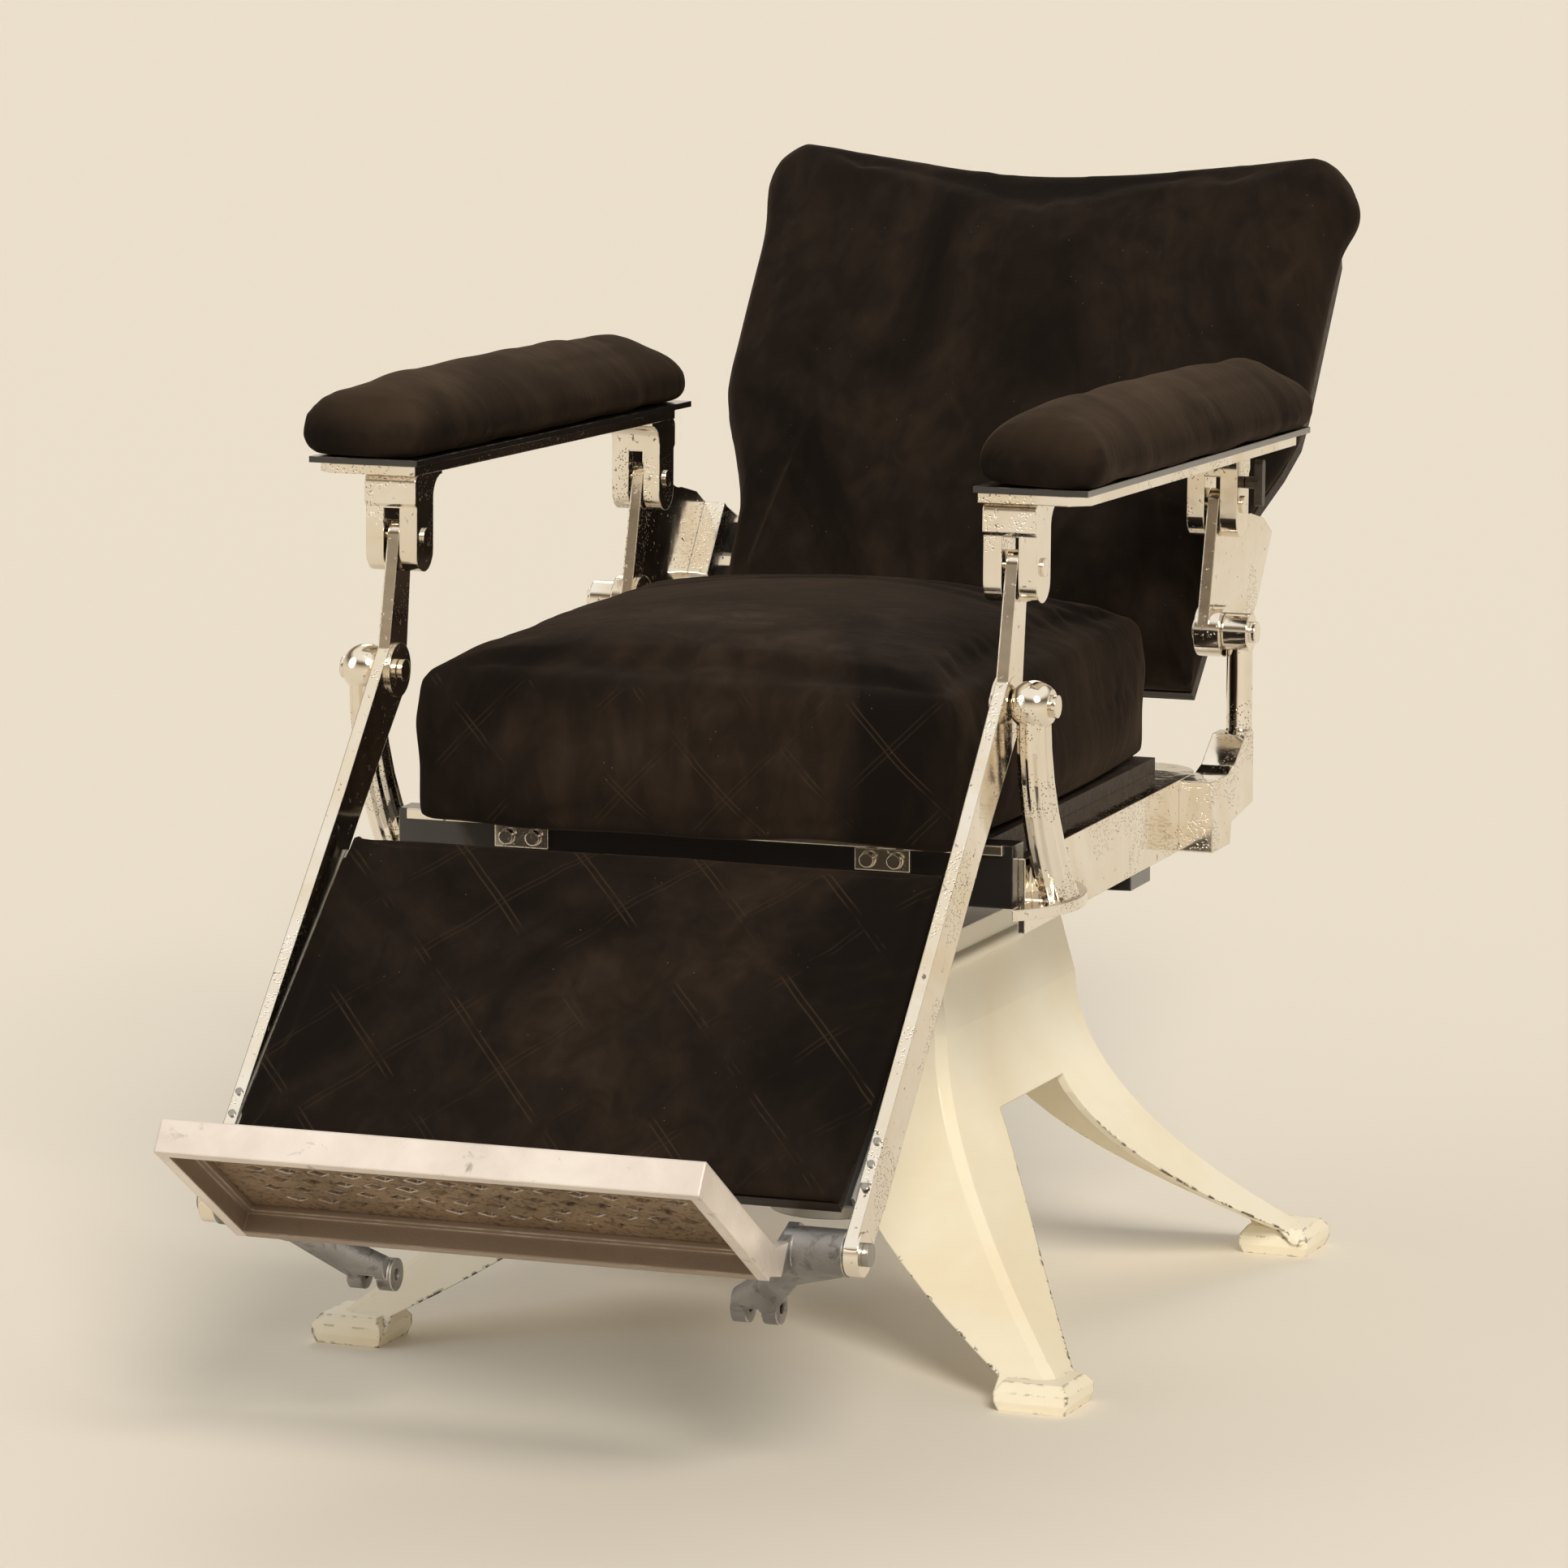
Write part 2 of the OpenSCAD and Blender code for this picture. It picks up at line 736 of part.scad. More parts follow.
module front_post_solid() {
    head = [front_pivot_y, front_pivot_z];
    block_z = front_foot_z + leaf_t / 3;
    block_front = front_rail_bolts[0].x - post_bolt_r * 2;
    block_rear = front_rail_bolts[1].x + post_bolt_r * 3;
    color(chrome)
        difference() {
            union() {
                loft([for (k = [0:post_rings])
                    let (s = k / post_rings, back = pow(1 - s, 2))
                    flute_ring(post_mid_x,
                        front_pivot_y + front_post_sweep * back,
                        lerp(front_foot_z, front_pivot_z - head_r / 2, s),
                        post_w / 2 * lerp(1, post_slim_share, s),
                        lerp(post_d_top, post_d_foot, back) / 2)]);
                difference() {
                    translate([post_mid_x, head.x, head.y])
                        sphere(r = head_r);
                    rod(0, post_in, head, head_r * 2);
                    rod(front_face_x, front_face_x + head_r, head, head_r * 2);
                }
                translate([frame_half, front_pivot_y + front_post_sweep, front_foot_z - leaf_t / 2])
                    foot_leaf();
                slab(frame_half, post_mid_x)
                    polygon([
                        [block_front, block_z],
                        [block_rear, block_z],
                        [block_rear - post_bolt_r, rail_top_z],
                        [block_front, rail_top_z]]);
            }
            rod(frame_half - over, front_face_x + over, head, bolt_r + fit_gap);
            for (p = front_rail_bolts)
                rod(frame_half - over, frame_bolt_x + over, p, post_bolt_r + fit_gap);
        }
}

// The pointed leaf at the foot of the post
module foot_leaf() {
    r = (leaf_l * leaf_l / 4 + leaf_w * leaf_w) / (2 * leaf_w);
    half_angle = asin(leaf_l / 2 / r);
    linear_extrude(leaf_t)
        polygon(arc([leaf_w - r, 0], r, -half_angle, half_angle));
}

module front_post_right() {
    front_post_solid();
}

module front_post_left() {
    mirror([1, 0, 0])
        front_post_solid();
}

column_r = 11;
column_gap = 9;
column_x = frame_half + column_gap + column_r;
column_set_back = 3;
rear_head_r = 16;
rear_block_set_ahead = 102;
rear_block_l = 50;
rear_arm_low = 18;
elbow_low = 26;
elbow_rise = 26;
bead_share = 1.08;
rear_block_share = 0.85;

// The rear post: a block on the rail, an arm to the rear, and a round column
module rear_post_solid() {
    front_y = rear_pivot_y - rear_block_set_ahead;
    elbow_z = rail_top_z + elbow_rise;
    column_y = rear_pivot_y + column_set_back;
    back_y = column_y + column_r;
    color(chrome)
        difference() {
            union() {
                translate([column_x, column_y, elbow_z - over])
                    cylinder(h = rear_pivot_z - elbow_z, r = column_r);
                translate([column_x, column_y, elbow_z])
                    sphere(r = column_r * bead_share);
                rod(column_x - column_r, column_x + column_r,
                    [rear_pivot_y, rear_pivot_z], rear_head_r);
                slab(frame_half, column_x + column_r * rear_block_share)
                    polygon([
                        [front_y, rail_z],
                        [front_y + rear_block_l, rail_z],
                        [front_y + rear_block_l * 1.08, rail_z + rear_arm_low],
                        [back_y, rail_z + elbow_low],
                        [back_y, elbow_z],
                        [column_y - column_r, elbow_z],
                        [front_y + rear_block_l * 1.24, rail_top_z + rail_t * 0.7],
                        [front_y + rear_block_l * 0.92, rail_top_z],
                        [front_y, rail_top_z]]);
            }
            rod(column_x - column_r - over, column_x + column_r + over,
                [rear_pivot_y, rear_pivot_z], bolt_r + fit_gap);
            for (p = rear_rail_bolts)
                rod(frame_half - over, frame_bolt_x + over, p, post_bolt_r + fit_gap);
        }
}

module rear_post_right() {
    rear_post_solid();
}

module rear_post_left() {
    mirror([1, 0, 0])
        rear_post_solid();
}

bolt_head_t = 4;

// Bolts through the rails into the posts, with their heads inside the rails
module frame_bolts() {
    color(steel)
        both_sides()
            for (p = concat(front_rail_bolts, rear_rail_bolts)) {
                rod(frame_in, frame_bolt_x, p, post_bolt_r);
                rod(frame_in - bolt_head_t, frame_in, p, post_bolt_r * 2);
            }
}

pivot_head_r = 9;
pivot_head_t = 5;
pivot_nut_t = 5;
hub_step = 3;
hub_in = lever_in - hub_step;

module pivot_bolt(x_in, x_out, at) {
    rod(x_in - pivot_nut_t, x_out + pivot_head_t / 2, at, bolt_r);
    rod(x_out, x_out + pivot_head_t, at, pivot_head_r);
    rod(x_in - pivot_nut_t, x_in - run_gap, at, pivot_head_r);
}

module front_pivot_bolts() {
    color(chrome)
        both_sides()
            pivot_bolt(hub_in, front_face_x, [front_pivot_y, front_pivot_z]);
}

module rear_pivot_bolts() {
    color(chrome)
        both_sides()
            pivot_bolt(hub_in, column_x + column_r, [rear_pivot_y, rear_pivot_z]);
}

// Seat

board_edge = 8;
seat_low_z = rail_top_z + seat_board_t;
soft_gap = 0.3;
board_front_y = rail_front_y + front_bar_d / 2 + run_gap;

module seat_board() {
    color(wood)
        translate([-seat_w / 2 + board_edge, board_front_y, rail_top_z])
            cube([seat_w - board_edge * 2, seat_rear_y - board_edge - board_front_y, seat_board_t]);
}

// A rectangle drawn in by an inset, with its corners pulled in by a share
function soft_plan(u, v, half_w, half_l, inset, round_share) =
    [u * (half_w - inset) * sqrt(1 - round_share * v * v / 2),
        v * (half_l - inset) * sqrt(1 - round_share * u * u / 2)];

seat_nx = 20;
seat_ny = 16;
seat_corner_share = 0.16;
seat_roll = 16;

module seat_cushion() {
    half_l = (seat_rear_y - seat_front_y) / 2;
    plan = function(u, v, inset) soft_plan(u, v, seat_w / 2, half_l, inset, seat_corner_share);
    top = function(i, j)
        let (u = 2 * i / seat_nx - 1, v = 2 * j / seat_ny - 1)
        seat_side_h + seat_crown * swell(u, 2.2) * swell(v, 3);
    levels = [
        [0, seat_roll / 2],
        [seat_roll / 2, seat_roll / 6],
        [seat_side_h / 3, seat_roll / 6],
        [seat_side_h * 0.62, 0],
        [seat_side_h - seat_roll, seat_roll / 5],
        [seat_side_h - seat_roll / 4, seat_roll * 0.55]];
    color(velvet)
        translate([0, (seat_rear_y + seat_front_y) / 2, seat_low_z + soft_gap])
            pad(seat_nx, seat_ny, plan, levels, top, seat_roll);
}

// Back, in its own frame: up its slope in Z and out of its rear in Y

module in_back() {
    translate([0, back_foot_y, back_foot_z])
        rotate([-back_lean, 0, 0])
            children();
}

// A place in Y and Z, as the back's own frame has it
function to_back(p) =
    let (y = p.x - back_foot_y, z = p.y - back_foot_z)
    [y * cos(back_lean) - z * sin(back_lean), y * sin(back_lean) + z * cos(back_lean)];

back_nx = 18;
back_ny = 22;
back_roll = 18;
back_waist_share = 0.257;
back_full_share = 0.533;
back_shoulder_share = 0.873;
back_top_share = 0.9;

function ease(t) = t * t * (3 - 2 * t);

// Half width of the back at a share of its height
function back_half(s) =
    s < back_waist_share ? lerp(back_low_half, back_low_half + back_dip / 2, s / back_waist_share)
    : s < back_full_share ? lerp(back_low_half + back_dip / 2, back_wide_half,
        ease((s - back_waist_share) / (back_full_share - back_waist_share)))
    : s < back_shoulder_share ? back_wide_half
    : lerp(back_wide_half, back_wide_half * back_top_share,
        pow((s - back_shoulder_share) / (1 - back_shoulder_share), 2));

// Height of the back's top edge at a share of its half width
function back_top(u) = back_h - back_dip + back_dip * 2 * u * u - back_dip * pow(u, 6);

function back_plan(u, v, inset) =
    let (s = (v + 1) / 2)
    [u * (back_half(s) - inset), inset + s * (back_top(u) - inset * 2)];

// The back's solids lie face down in the pad's frame and are stood up here
module stand_back() {
    rotate([90, 0, 0])
        children();
}

module back_cushion() {
    plan = function(u, v, inset) back_plan(u, v, inset);
    top = function(i, j)
        let (u = 2 * i / back_nx - 1, v = 2 * j / back_ny - 1)
        back_side_t + back_crown * swell(u, 2.4) * swell(v, 4);
    levels = [
        [0, back_roll / 2],
        [back_side_t / 6, back_roll / 6],
        [back_side_t * 0.4, 0],
        [back_side_t - back_roll, back_roll / 3],
        [back_side_t - back_roll / 4, back_roll * 0.75]];
    color(velvet)
        in_back()
            translate([0, back_side_t - soft_gap, 0])
                stand_back()
                    pad(back_nx, back_ny, plan, levels, top, back_roll * 1.2);
}

back_board_inset = 10;

module back_board() {
    outline = concat(
        [for (i = [-8:8]) back_plan(i / 8, -1, back_board_inset)],
        [for (j = [1:16]) back_plan(1, j / 8 - 1, back_board_inset)],
        [for (i = [7:-1:-8]) back_plan(i / 8, 1, back_board_inset)],
        [for (j = [15:-1:1]) back_plan(-1, j / 8 - 1, back_board_inset)]);
    color(wood)
        in_back()
            translate([0, back_side_t + back_board_t, 0])
                stand_back()
                    linear_extrude(back_board_t)
                        polygon(outline);
}

strap_w = 32;
strap_t = 6;
strap_rows = [105, 150];
arm_rear_y = back_side_t + back_board_t + strap_t;
arm_boss_out = column_x - column_r - run_gap;
pin_up = [link_lean, link_h];
rear_pin = [rear_pivot_y, rear_pivot_z] + pin_up;
front_pin = [front_pivot_y, front_pivot_z] + pin_up;
eye_r = 13;
web_rear_y = 31;
web_low = 78;
web_high = 152;
tab_t = 8;
tab_gap = 3;
tab_in = back_low_half + back_dip / 2 + tab_t / 2 + tab_gap;

// The back arm: hub, upright link, and a web that steps in beside the cushion to
// a tab on the straps
module back_arm_solid() {
    hub = to_back([rear_pivot_y, rear_pivot_z]);
    pin = to_back(rear_pin);
    low = strap_rows[0] - strap_w / 2;
    high = strap_rows[1] + strap_w / 2;
    step_y = web_rear_y - tab_t;
    scoop_r = hub_r * 1.7;
    scoop = [pin.x + scoop_r * 1.35, pin.y + scoop_r * 1.7];
    along = (pin - hub) / norm(pin - hub);
    side = [along.y, -along.x];
    color(chrome)
        in_back()
            difference() {
                union() {
                    slab(lever_in, lever_out) {
                        polygon(strap(hub, pin, hub_r, eye_r));
                        polygon([
                            hub - side * hub_r / 5,
                            hub + side * hub_r * 0.9 - along * hub_r * 0.3,
                            [0, web_low * 0.7],
                            [web_rear_y, web_low],
                            [web_rear_y, web_high],
                            [0, web_high * 0.97],
                            pin]);
                    }
                    slab(tab_in, lever_out)
                        polygon([[step_y, web_low * 0.99], [web_rear_y, web_low * 0.99],
                            [web_rear_y, web_high * 0.99], [step_y, web_high * 0.99]]);
                    slab(tab_in, tab_in + tab_t)
                        polygon([[step_y, web_low * 0.98], [arm_rear_y, low],
                            [arm_rear_y, high], [step_y, web_high * 0.98]]);
                    rod(hub_in, arm_boss_out, hub, hub_r);
                }
                rod(lever_in - over, lever_out + over, scoop, scoop_r);
                rod(hub_in - over, arm_boss_out + over, hub, bolt_r + fit_gap);
                rod(lever_in - over, lever_out + over, pin, pin_r + fit_gap);
            }
}

module back_arm_right() {
    back_arm_solid();
}

module back_arm_left() {
    mirror([1, 0, 0])
        back_arm_solid();
}

// Flat straps across the rear of the back, from arm to arm
module back_straps() {
    color(steel)
        in_back()
            for (z = strap_rows)
                translate([-tab_in, arm_rear_y - strap_t, z - strap_w / 2])
                    cube([tab_in * 2, strap_t, strap_w]);
}

// Armrests, in their own frame: the front pin is its origin, Y runs to the rear pin

arm_slope = atan2(front_pivot_z - rear_pivot_z, rear_pivot_y - front_pivot_y);
arm_span = norm([rear_pivot_y - front_pivot_y, rear_pivot_z - front_pivot_z]);

module in_armrest() {
    translate([0, front_pin.x, front_pin.y])
        rotate([-arm_slope, 0, 0])
            children();
}

arm_mid = lever_in + lever_t / 2;
arm_shift = 20;
arm_in = arm_mid - arm_w / 2 + arm_shift;
plate_chamfer = 14;

module arm_plate_solid() {
    y0 = -arm_front;
    y1 = arm_span + arm_rear;
    x1 = arm_in + arm_w;
    color(chrome)
        in_armrest()
            translate([0, 0, arm_rise])
                linear_extrude(arm_t)
                    polygon([
                        [arm_in, y0],
                        [x1 - plate_chamfer, y0],
                        [x1, y0 + plate_chamfer],
                        [x1, y1 - plate_chamfer],
                        [x1 - plate_chamfer, y1],
                        [arm_in + plate_chamfer, y1],
                        [arm_in, y1 - plate_chamfer]]);
}

module arm_plate_right() {
    arm_plate_solid();
}

module arm_plate_left() {
    mirror([1, 0, 0])
        arm_plate_solid();
}

arm_board_over = 3;
arm_board_rear = 18;
arm_pad_z = arm_rise + arm_t + arm_board_t;

// The board under an arm pad, a little larger than the plate that carries it
module arm_board_solid() {
    y0 = -arm_front - arm_board_over;
    color(black)
        in_armrest()
            translate([arm_in - arm_board_over, y0, arm_rise + arm_t])
                cube([arm_w + arm_board_over * 2,
                    arm_span + arm_rear + arm_board_rear - y0, arm_board_t]);
}

module arm_board_right() {
    arm_board_solid();
}

module arm_board_left() {
    mirror([1, 0, 0])
        arm_board_solid();
}

arm_nx = 6;
arm_ny = 24;
arm_pad_over = 14;
arm_pad_rear = 34;
arm_pad_out = 4;
arm_hump_share = 0.72;

// Height of the arm pad at a share of its length: low in front, then a hump
function arm_pad_h(s) =
    s < arm_hump_share
        ? lerp(arm_pad_front_h, arm_pad_hump_h, ease(s / arm_hump_share))
        : lerp(arm_pad_hump_h, arm_pad_front_h * 1.2,
            pow((s - arm_hump_share) / (1 - arm_hump_share), 2));

module arm_pad_solid() {
    y0 = -arm_front - arm_pad_over;
    y1 = arm_span + arm_rear + arm_pad_rear;
    half_l = (y1 - y0) / 2;
    roll = arm_pad_w * 0.27;
    plan = function(u, v, inset) soft_plan(u, v, arm_pad_w / 2, half_l, inset, 0.2);
    side_h = arm_pad_front_h * 0.8;
    top = function(i, j)
        let (u = 2 * i / arm_nx - 1, s = j / arm_ny, v = 2 * s - 1)
        side_h + (arm_pad_h(s) - side_h) * swell(u, 2) * swell(v, 8);
    levels = [
        [0, roll * 0.25],
        [side_h * 0.25, roll * 0.02],
        [side_h * 0.6, roll * 0.1],
        [side_h * 0.85, roll * 0.42]];
    color(velvet)
        in_armrest()
            translate([arm_in + arm_w / 2 + arm_pad_out, y0 + half_l, arm_pad_z + soft_gap])
                pad(arm_nx, arm_ny, plan, levels, top, roll * 0.8);
}

module arm_pad_right() {
    arm_pad_solid();
}

module arm_pad_left() {
    mirror([1, 0, 0])
        arm_pad_solid();
}

slot_gap = 2;
slot_w = lever_t + slot_gap * 2;
slot_top = 24;
clevis_drop = 11;
clevis_flare = 18;
clevis_lip = 3;
clevis_block_h = 26;
clevis_shoulder = 3;
clevis_round = 7;

// Side view of a clevis bracket: a round-shouldered block at one side, a flare under
// the plate at the other, and a round lower end
clevis_outline = concat(
    [[clevis_d / 2 + clevis_flare, arm_rise]],
    arc([-clevis_d / 2 - clevis_shoulder + clevis_round, arm_rise - clevis_round],
        clevis_round, 90, 180),
    [[-clevis_d / 2 - clevis_shoulder, arm_rise - clevis_block_h + clevis_shoulder],
        [-clevis_d / 2, arm_rise - clevis_block_h]],
    arc([0, -clevis_drop], clevis_d / 2, 180, 360),
    arc([clevis_d / 2 + clevis_flare, arm_rise - clevis_lip - clevis_flare],
        clevis_flare, 180, 90));

// A clevis bracket on the pin at y, with its flare towards side: two ears, joined
// above the slot
module clevis(y, side) {
    x0 = arm_mid - clevis_w / 2;
    low = clevis_drop + clevis_d / 2 + over;
    color(chrome)
        in_armrest()
            difference() {
                slab(x0, x0 + clevis_w)
                    polygon([for (p = clevis_outline) [y + side * p.x, p.y]]);
                translate([arm_mid - slot_w / 2, y - clevis_d, -low])
                    cube([slot_w, clevis_d * 2, low + slot_top]);
                rod(x0 - over, x0 + clevis_w + over, [y, 0], pin_r + fit_gap);
            }
}

module arm_front_clevis_right() {
    clevis(0, 1);
}

module arm_front_clevis_left() {
    mirror([1, 0, 0])
        clevis(0, 1);
}

screw_r = 3;
screw_y = 9;
screw_z = 18;
screw_depth = 10;

module arm_rear_clevis_right() {
    difference() {
        clevis(arm_span, -1);
        in_armrest()
            rod(arm_mid + clevis_w / 2 - screw_depth, arm_mid + clevis_w / 2 + over,
                [arm_span + screw_y, screw_z], screw_r + fit_gap);
    }
}

module arm_rear_clevis_left() {
    mirror([1, 0, 0])
        clevis(arm_span, -1);
}

pin_cap_t = 2;

module arm_pins_solid() {
    x0 = arm_mid - clevis_w / 2;
    color(chrome)
        in_armrest()
            for (y = [0, arm_span]) {
                rod(x0 - pin_cap_t, x0 + clevis_w + pin_cap_t, [y, 0], pin_r);
                rod(x0 + clevis_w, x0 + clevis_w + pin_cap_t, [y, 0], pin_r * 1.5);
                rod(x0 - pin_cap_t, x0, [y, 0], pin_r * 1.5);
            }
}

module arm_pins_right() {
    arm_pins_solid();
}

module arm_pins_left() {
    mirror([1, 0, 0])
        arm_pins_solid();
}

wing_l = 40;
wing_t = 7;
wing_w = 9;
collar_h = 12;

// The T-shaped screw in the outer ear of the right rear bracket
module thumb_screw() {
    face_x = arm_mid + clevis_w / 2;
    at = [arm_span + screw_y, screw_z];
    color(black)
        in_armrest() {
            rod(face_x - screw_depth + run_gap, face_x + collar_h, at, screw_r);
            rod(face_x + run_gap, face_x + collar_h, at, screw_r * 1.7);
            slab(face_x + collar_h - wing_t / 2, face_x + collar_h + wing_t / 2)
                polygon(strap(at - [0, wing_l / 2 - wing_w / 2], at + [0, wing_l / 2 - wing_w / 2],
                    wing_w / 2, wing_w / 2));
        }
}

// Legrest, in its own frame: the front pivot is its origin, Z runs up the levers

module in_legrest() {
    translate([0, front_pivot_y, front_pivot_z])
        rotate([-leg_angle, 0, 0])
            children();
}

blade_l = 135;
foot_hub_r = 17;
foot_hub_step = 2;
leg_neck_r = 19;
blade_r = 24;
leg_hole_r = bolt_r + fit_gap;

function to_legrest(p) =
    let (y = p.x - front_pivot_y, z = p.y - front_pivot_z)
    [y * cos(leg_angle) - z * sin(leg_angle), y * sin(leg_angle) + z * cos(leg_angle)];

module legrest_lever_solid() {
    half_d = leg_bar_d / 2;
    pin = to_legrest(front_pin);
    color(chrome)
        in_legrest()
            difference() {
                union() {
                    slab(lever_in, lever_out) {
                        polygon(strap([0, 0], pin, leg_neck_r, eye_r));
                        polygon(strap([0, 0], [0, -blade_l], blade_r, half_d));
                        polygon(strap([0, -blade_l], [0, -leg_l], half_d, foot_hub_r));
                        polygon([[-half_d, -blade_l], [half_d, -blade_l],
                            [half_d, -leg_l * 0.9], [-half_d, -leg_l * 0.9]]);
                    }
                    rod(hub_in, lever_out + run_gap / 2, [0, 0], hub_r);
                    rod(lever_in, lever_out + foot_hub_step, [0, -leg_l], foot_hub_r);
                }
                rod(hub_in - over, lever_out + over, [0, 0], leg_hole_r);
                rod(lever_in - over, lever_out + foot_hub_step + over, [0, -leg_l], leg_hole_r);
                rod(lever_in - over, lever_out + over, pin, pin_r + run_gap);
            }
}

module legrest_lever_right() {
    legrest_lever_solid();
}

module legrest_lever_left() {
    mirror([1, 0, 0])
        legrest_lever_solid();
}

// The padded panel, tilted a little from the levers about its upper edge
module in_leg_panel() {
    in_legrest()
        translate([0, 0, -leg_pad_start])
            rotate([-leg_pad_tilt, 0, 0])
                children();
}

leg_side_gap = 5;
leg_half = lever_in - leg_side_gap;
angle_t = 3;
angle_w = 32;
leg_nx = 20;
leg_ny = 12;
leg_roll = 6;

module legrest_pad() {
    plan = function(u, v, inset) soft_plan(u, v, leg_half, leg_pad_h / 2, inset, 0.04);
    top = function(i, j)
        let (u = 2 * i / leg_nx - 1, v = 2 * j / leg_ny - 1)
        leg_pad_t - quilt_d + quilt_d * diamond_share(i, j + 2) * swell(u, 12) * swell(v, 12);
    levels = [
        [0, leg_roll / 3],
        [leg_pad_t / 2, 0],
        [leg_pad_t - quilt_d - leg_roll / 3, leg_roll / 3]];
    color(velvet)
        in_leg_panel()
            translate([0, leg_pad_t - soft_gap, -leg_pad_h / 2])
                rotate([90, 0, 0])
                    pad(leg_nx, leg_ny, plan, levels, top, leg_roll);
}

module legrest_board() {
    color(wood)
        in_leg_panel()
            translate([-leg_half + leg_roll, leg_pad_t, -leg_pad_h + leg_roll])
                cube([leg_half * 2 - leg_roll * 2, leg_board_t, leg_pad_h - leg_roll * 2]);
}

// Angle irons that carry the board between the levers
module legrest_angles() {
    y_rear = leg_pad_t + leg_board_t;
    color(steel)
        both_sides()
            in_leg_panel()
                translate([0, 0, -leg_pad_h + leg_roll * 2])
                    linear_extrude(leg_pad_h - leg_roll * 4)
                        polygon([
                            [lever_in, leg_pad_t],
                            [lever_in, y_rear + angle_t],
                            [lever_in - angle_w, y_rear + angle_t],
                            [lever_in - angle_w, y_rear],
                            [lever_in - angle_t, y_rear],
                            [lever_in - angle_t, leg_pad_t]]);
}

leg_screw_r = 3;
leg_screw_up = 47;
leg_screw_step = 20;

// Small screws in the front edges of the levers, near their lower ends
module legrest_screws() {
    color(steel)
        both_sides()
            in_legrest()
                for (i = [0:2])
                    translate([lever_in + lever_t / 2, -leg_bar_d / 2,
                        leg_screw_up + i * leg_screw_step - leg_l])
                        rotate([90, 0, 0])
                            cylinder(h = leg_screw_r / 2, r = leg_screw_r);
}

// Footrest, in its own frame: its pivot is the origin, -Y runs up the footplate

foot_pivot = [
    front_pivot_y - leg_l * sin(leg_angle),
    front_pivot_z - leg_l * cos(leg_angle)];

module in_footrest() {
    translate([0, foot_pivot.x, foot_pivot.y])
        rotate([-foot_slope, 0, 0])
            children();
}

boss_depth = 8;
boss_in = foot_half - boss_depth;
boss_out = lever_in - run_gap;
ear_t = 12;
ear_gap = 13;
ear_r = 13;
ear_half = ear_gap / 2 + ear_t;
tail_z = -tread_drop;

cheek_end = foot_plate_back / 2;
cheek_low = -tread_drop - rim_h * 0.55;
cheek_high = -tread_drop / 5;
root_r = boss_r * 1.12;
root_from = 250;
root_to = 470;

// Side view of a cheek: rim height in front, raised towards the bracket
module cheek_outline() {
    polygon([
        [-foot_plate_l, -tread_drop],
        [-foot_plate_l, -tread_drop - rim_h],
        [-foot_plate_back - rim_t, -tread_drop - rim_h],
        [-cheek_end, cheek_low],
        [-cheek_end, cheek_high],
        [-foot_plate_back, -tread_drop]]);
}

// The arm that runs from a boss to its tail clevis, by way of a knee
module tail_arm() {
    knee = [boss_r * 1.55, tail_z / 2];
    hull() {
        rod(boss_in + rim_t * 0.4, boss_out - rim_t * 0.7, [boss_r, -boss_r] / 4, boss_r * 0.72);
        rod(boss_in - rim_t * 1.5, boss_in + rim_t * 0.2, knee, ear_r * 0.77);
    }
    hull() {
        rod(boss_in - rim_t * 1.4, boss_in + rim_t * 0.1, knee, ear_r * 0.72);
        rod(tail_x - ear_half * 0.84, tail_x + ear_half * 0.84,
            [tail_l - ear_r, tail_z], ear_r * 0.7);
    }
}

// One bracket: its root joins the cheek, its boss turns on the shoulder bolt, and
// its tail ends in a clevis
module foot_bracket_solid() {
    color(dull_alloy)
        in_footrest()
            difference() {
                union() {
                    slab(foot_half - rim_t, foot_half)
                        polygon(concat([[-cheek_end, cheek_low]],
                            arc([0, 0], root_r, root_from, root_to),
                            [[-cheek_end, cheek_high]]));
                    rod(boss_in, boss_out, [0, 0], boss_r);
                    tail_arm();
                    rod(tail_x - ear_half, tail_x + ear_half, [tail_l, tail_z], ear_r);
                }
                rod(boss_in - rim_t * 2, boss_out + over, [0, 0], leg_hole_r);
                translate([tail_x - ear_gap / 2, tail_l - ear_r * 1.3, tail_z - ear_r * 2])
                    cube([ear_gap, ear_r * 3, ear_r * 4]);
                rod(tail_x - ear_half - over, tail_x + ear_half + over,
                    [tail_l, tail_z], tail_bore_r);
            }
}

module foot_bracket_right() {
    foot_bracket_solid();
}

module foot_bracket_left() {
    mirror([1, 0, 0])
        foot_bracket_solid();
}

// The frame of the footplate: a rim on four sides with cheeks that reach back
module footplate() {
    plate_l = foot_plate_l - foot_plate_back;
    color(dull_alloy)
        in_footrest() {
            both_sides()
                slab(foot_half - rim_t, foot_half)
                    cheek_outline();
            for (y = [-foot_plate_l, -foot_plate_back - rim_t])
                translate([-foot_half, y, -tread_drop - rim_h])
                    cube([foot_half * 2, rim_t, rim_h]);
            translate([-foot_half + rim_t - over / 2, -foot_plate_l, -tread_drop - rim_h])
                ledges(plate_l);
        }
}

ledge_w = 6;
ledge_h = 5;

// The ledge inside the rim on which the tread rests
module ledges(plate_l) {
    w = foot_half * 2 - rim_t * 2 + over;
    z0 = rim_h - tread_t - ledge_h;
    for (y = [rim_t - over / 2, plate_l - rim_t - ledge_w])
        translate([0, y, z0])
            cube([w, ledge_w + over / 2, ledge_h]);
    for (x = [0, w - ledge_w - over / 2])
        translate([x, rim_t, z0])
            cube([ledge_w + over / 2, plate_l - rim_t * 1.5, ledge_h]);
}

tread_border = 14;
tread_hole_share = 0.34;

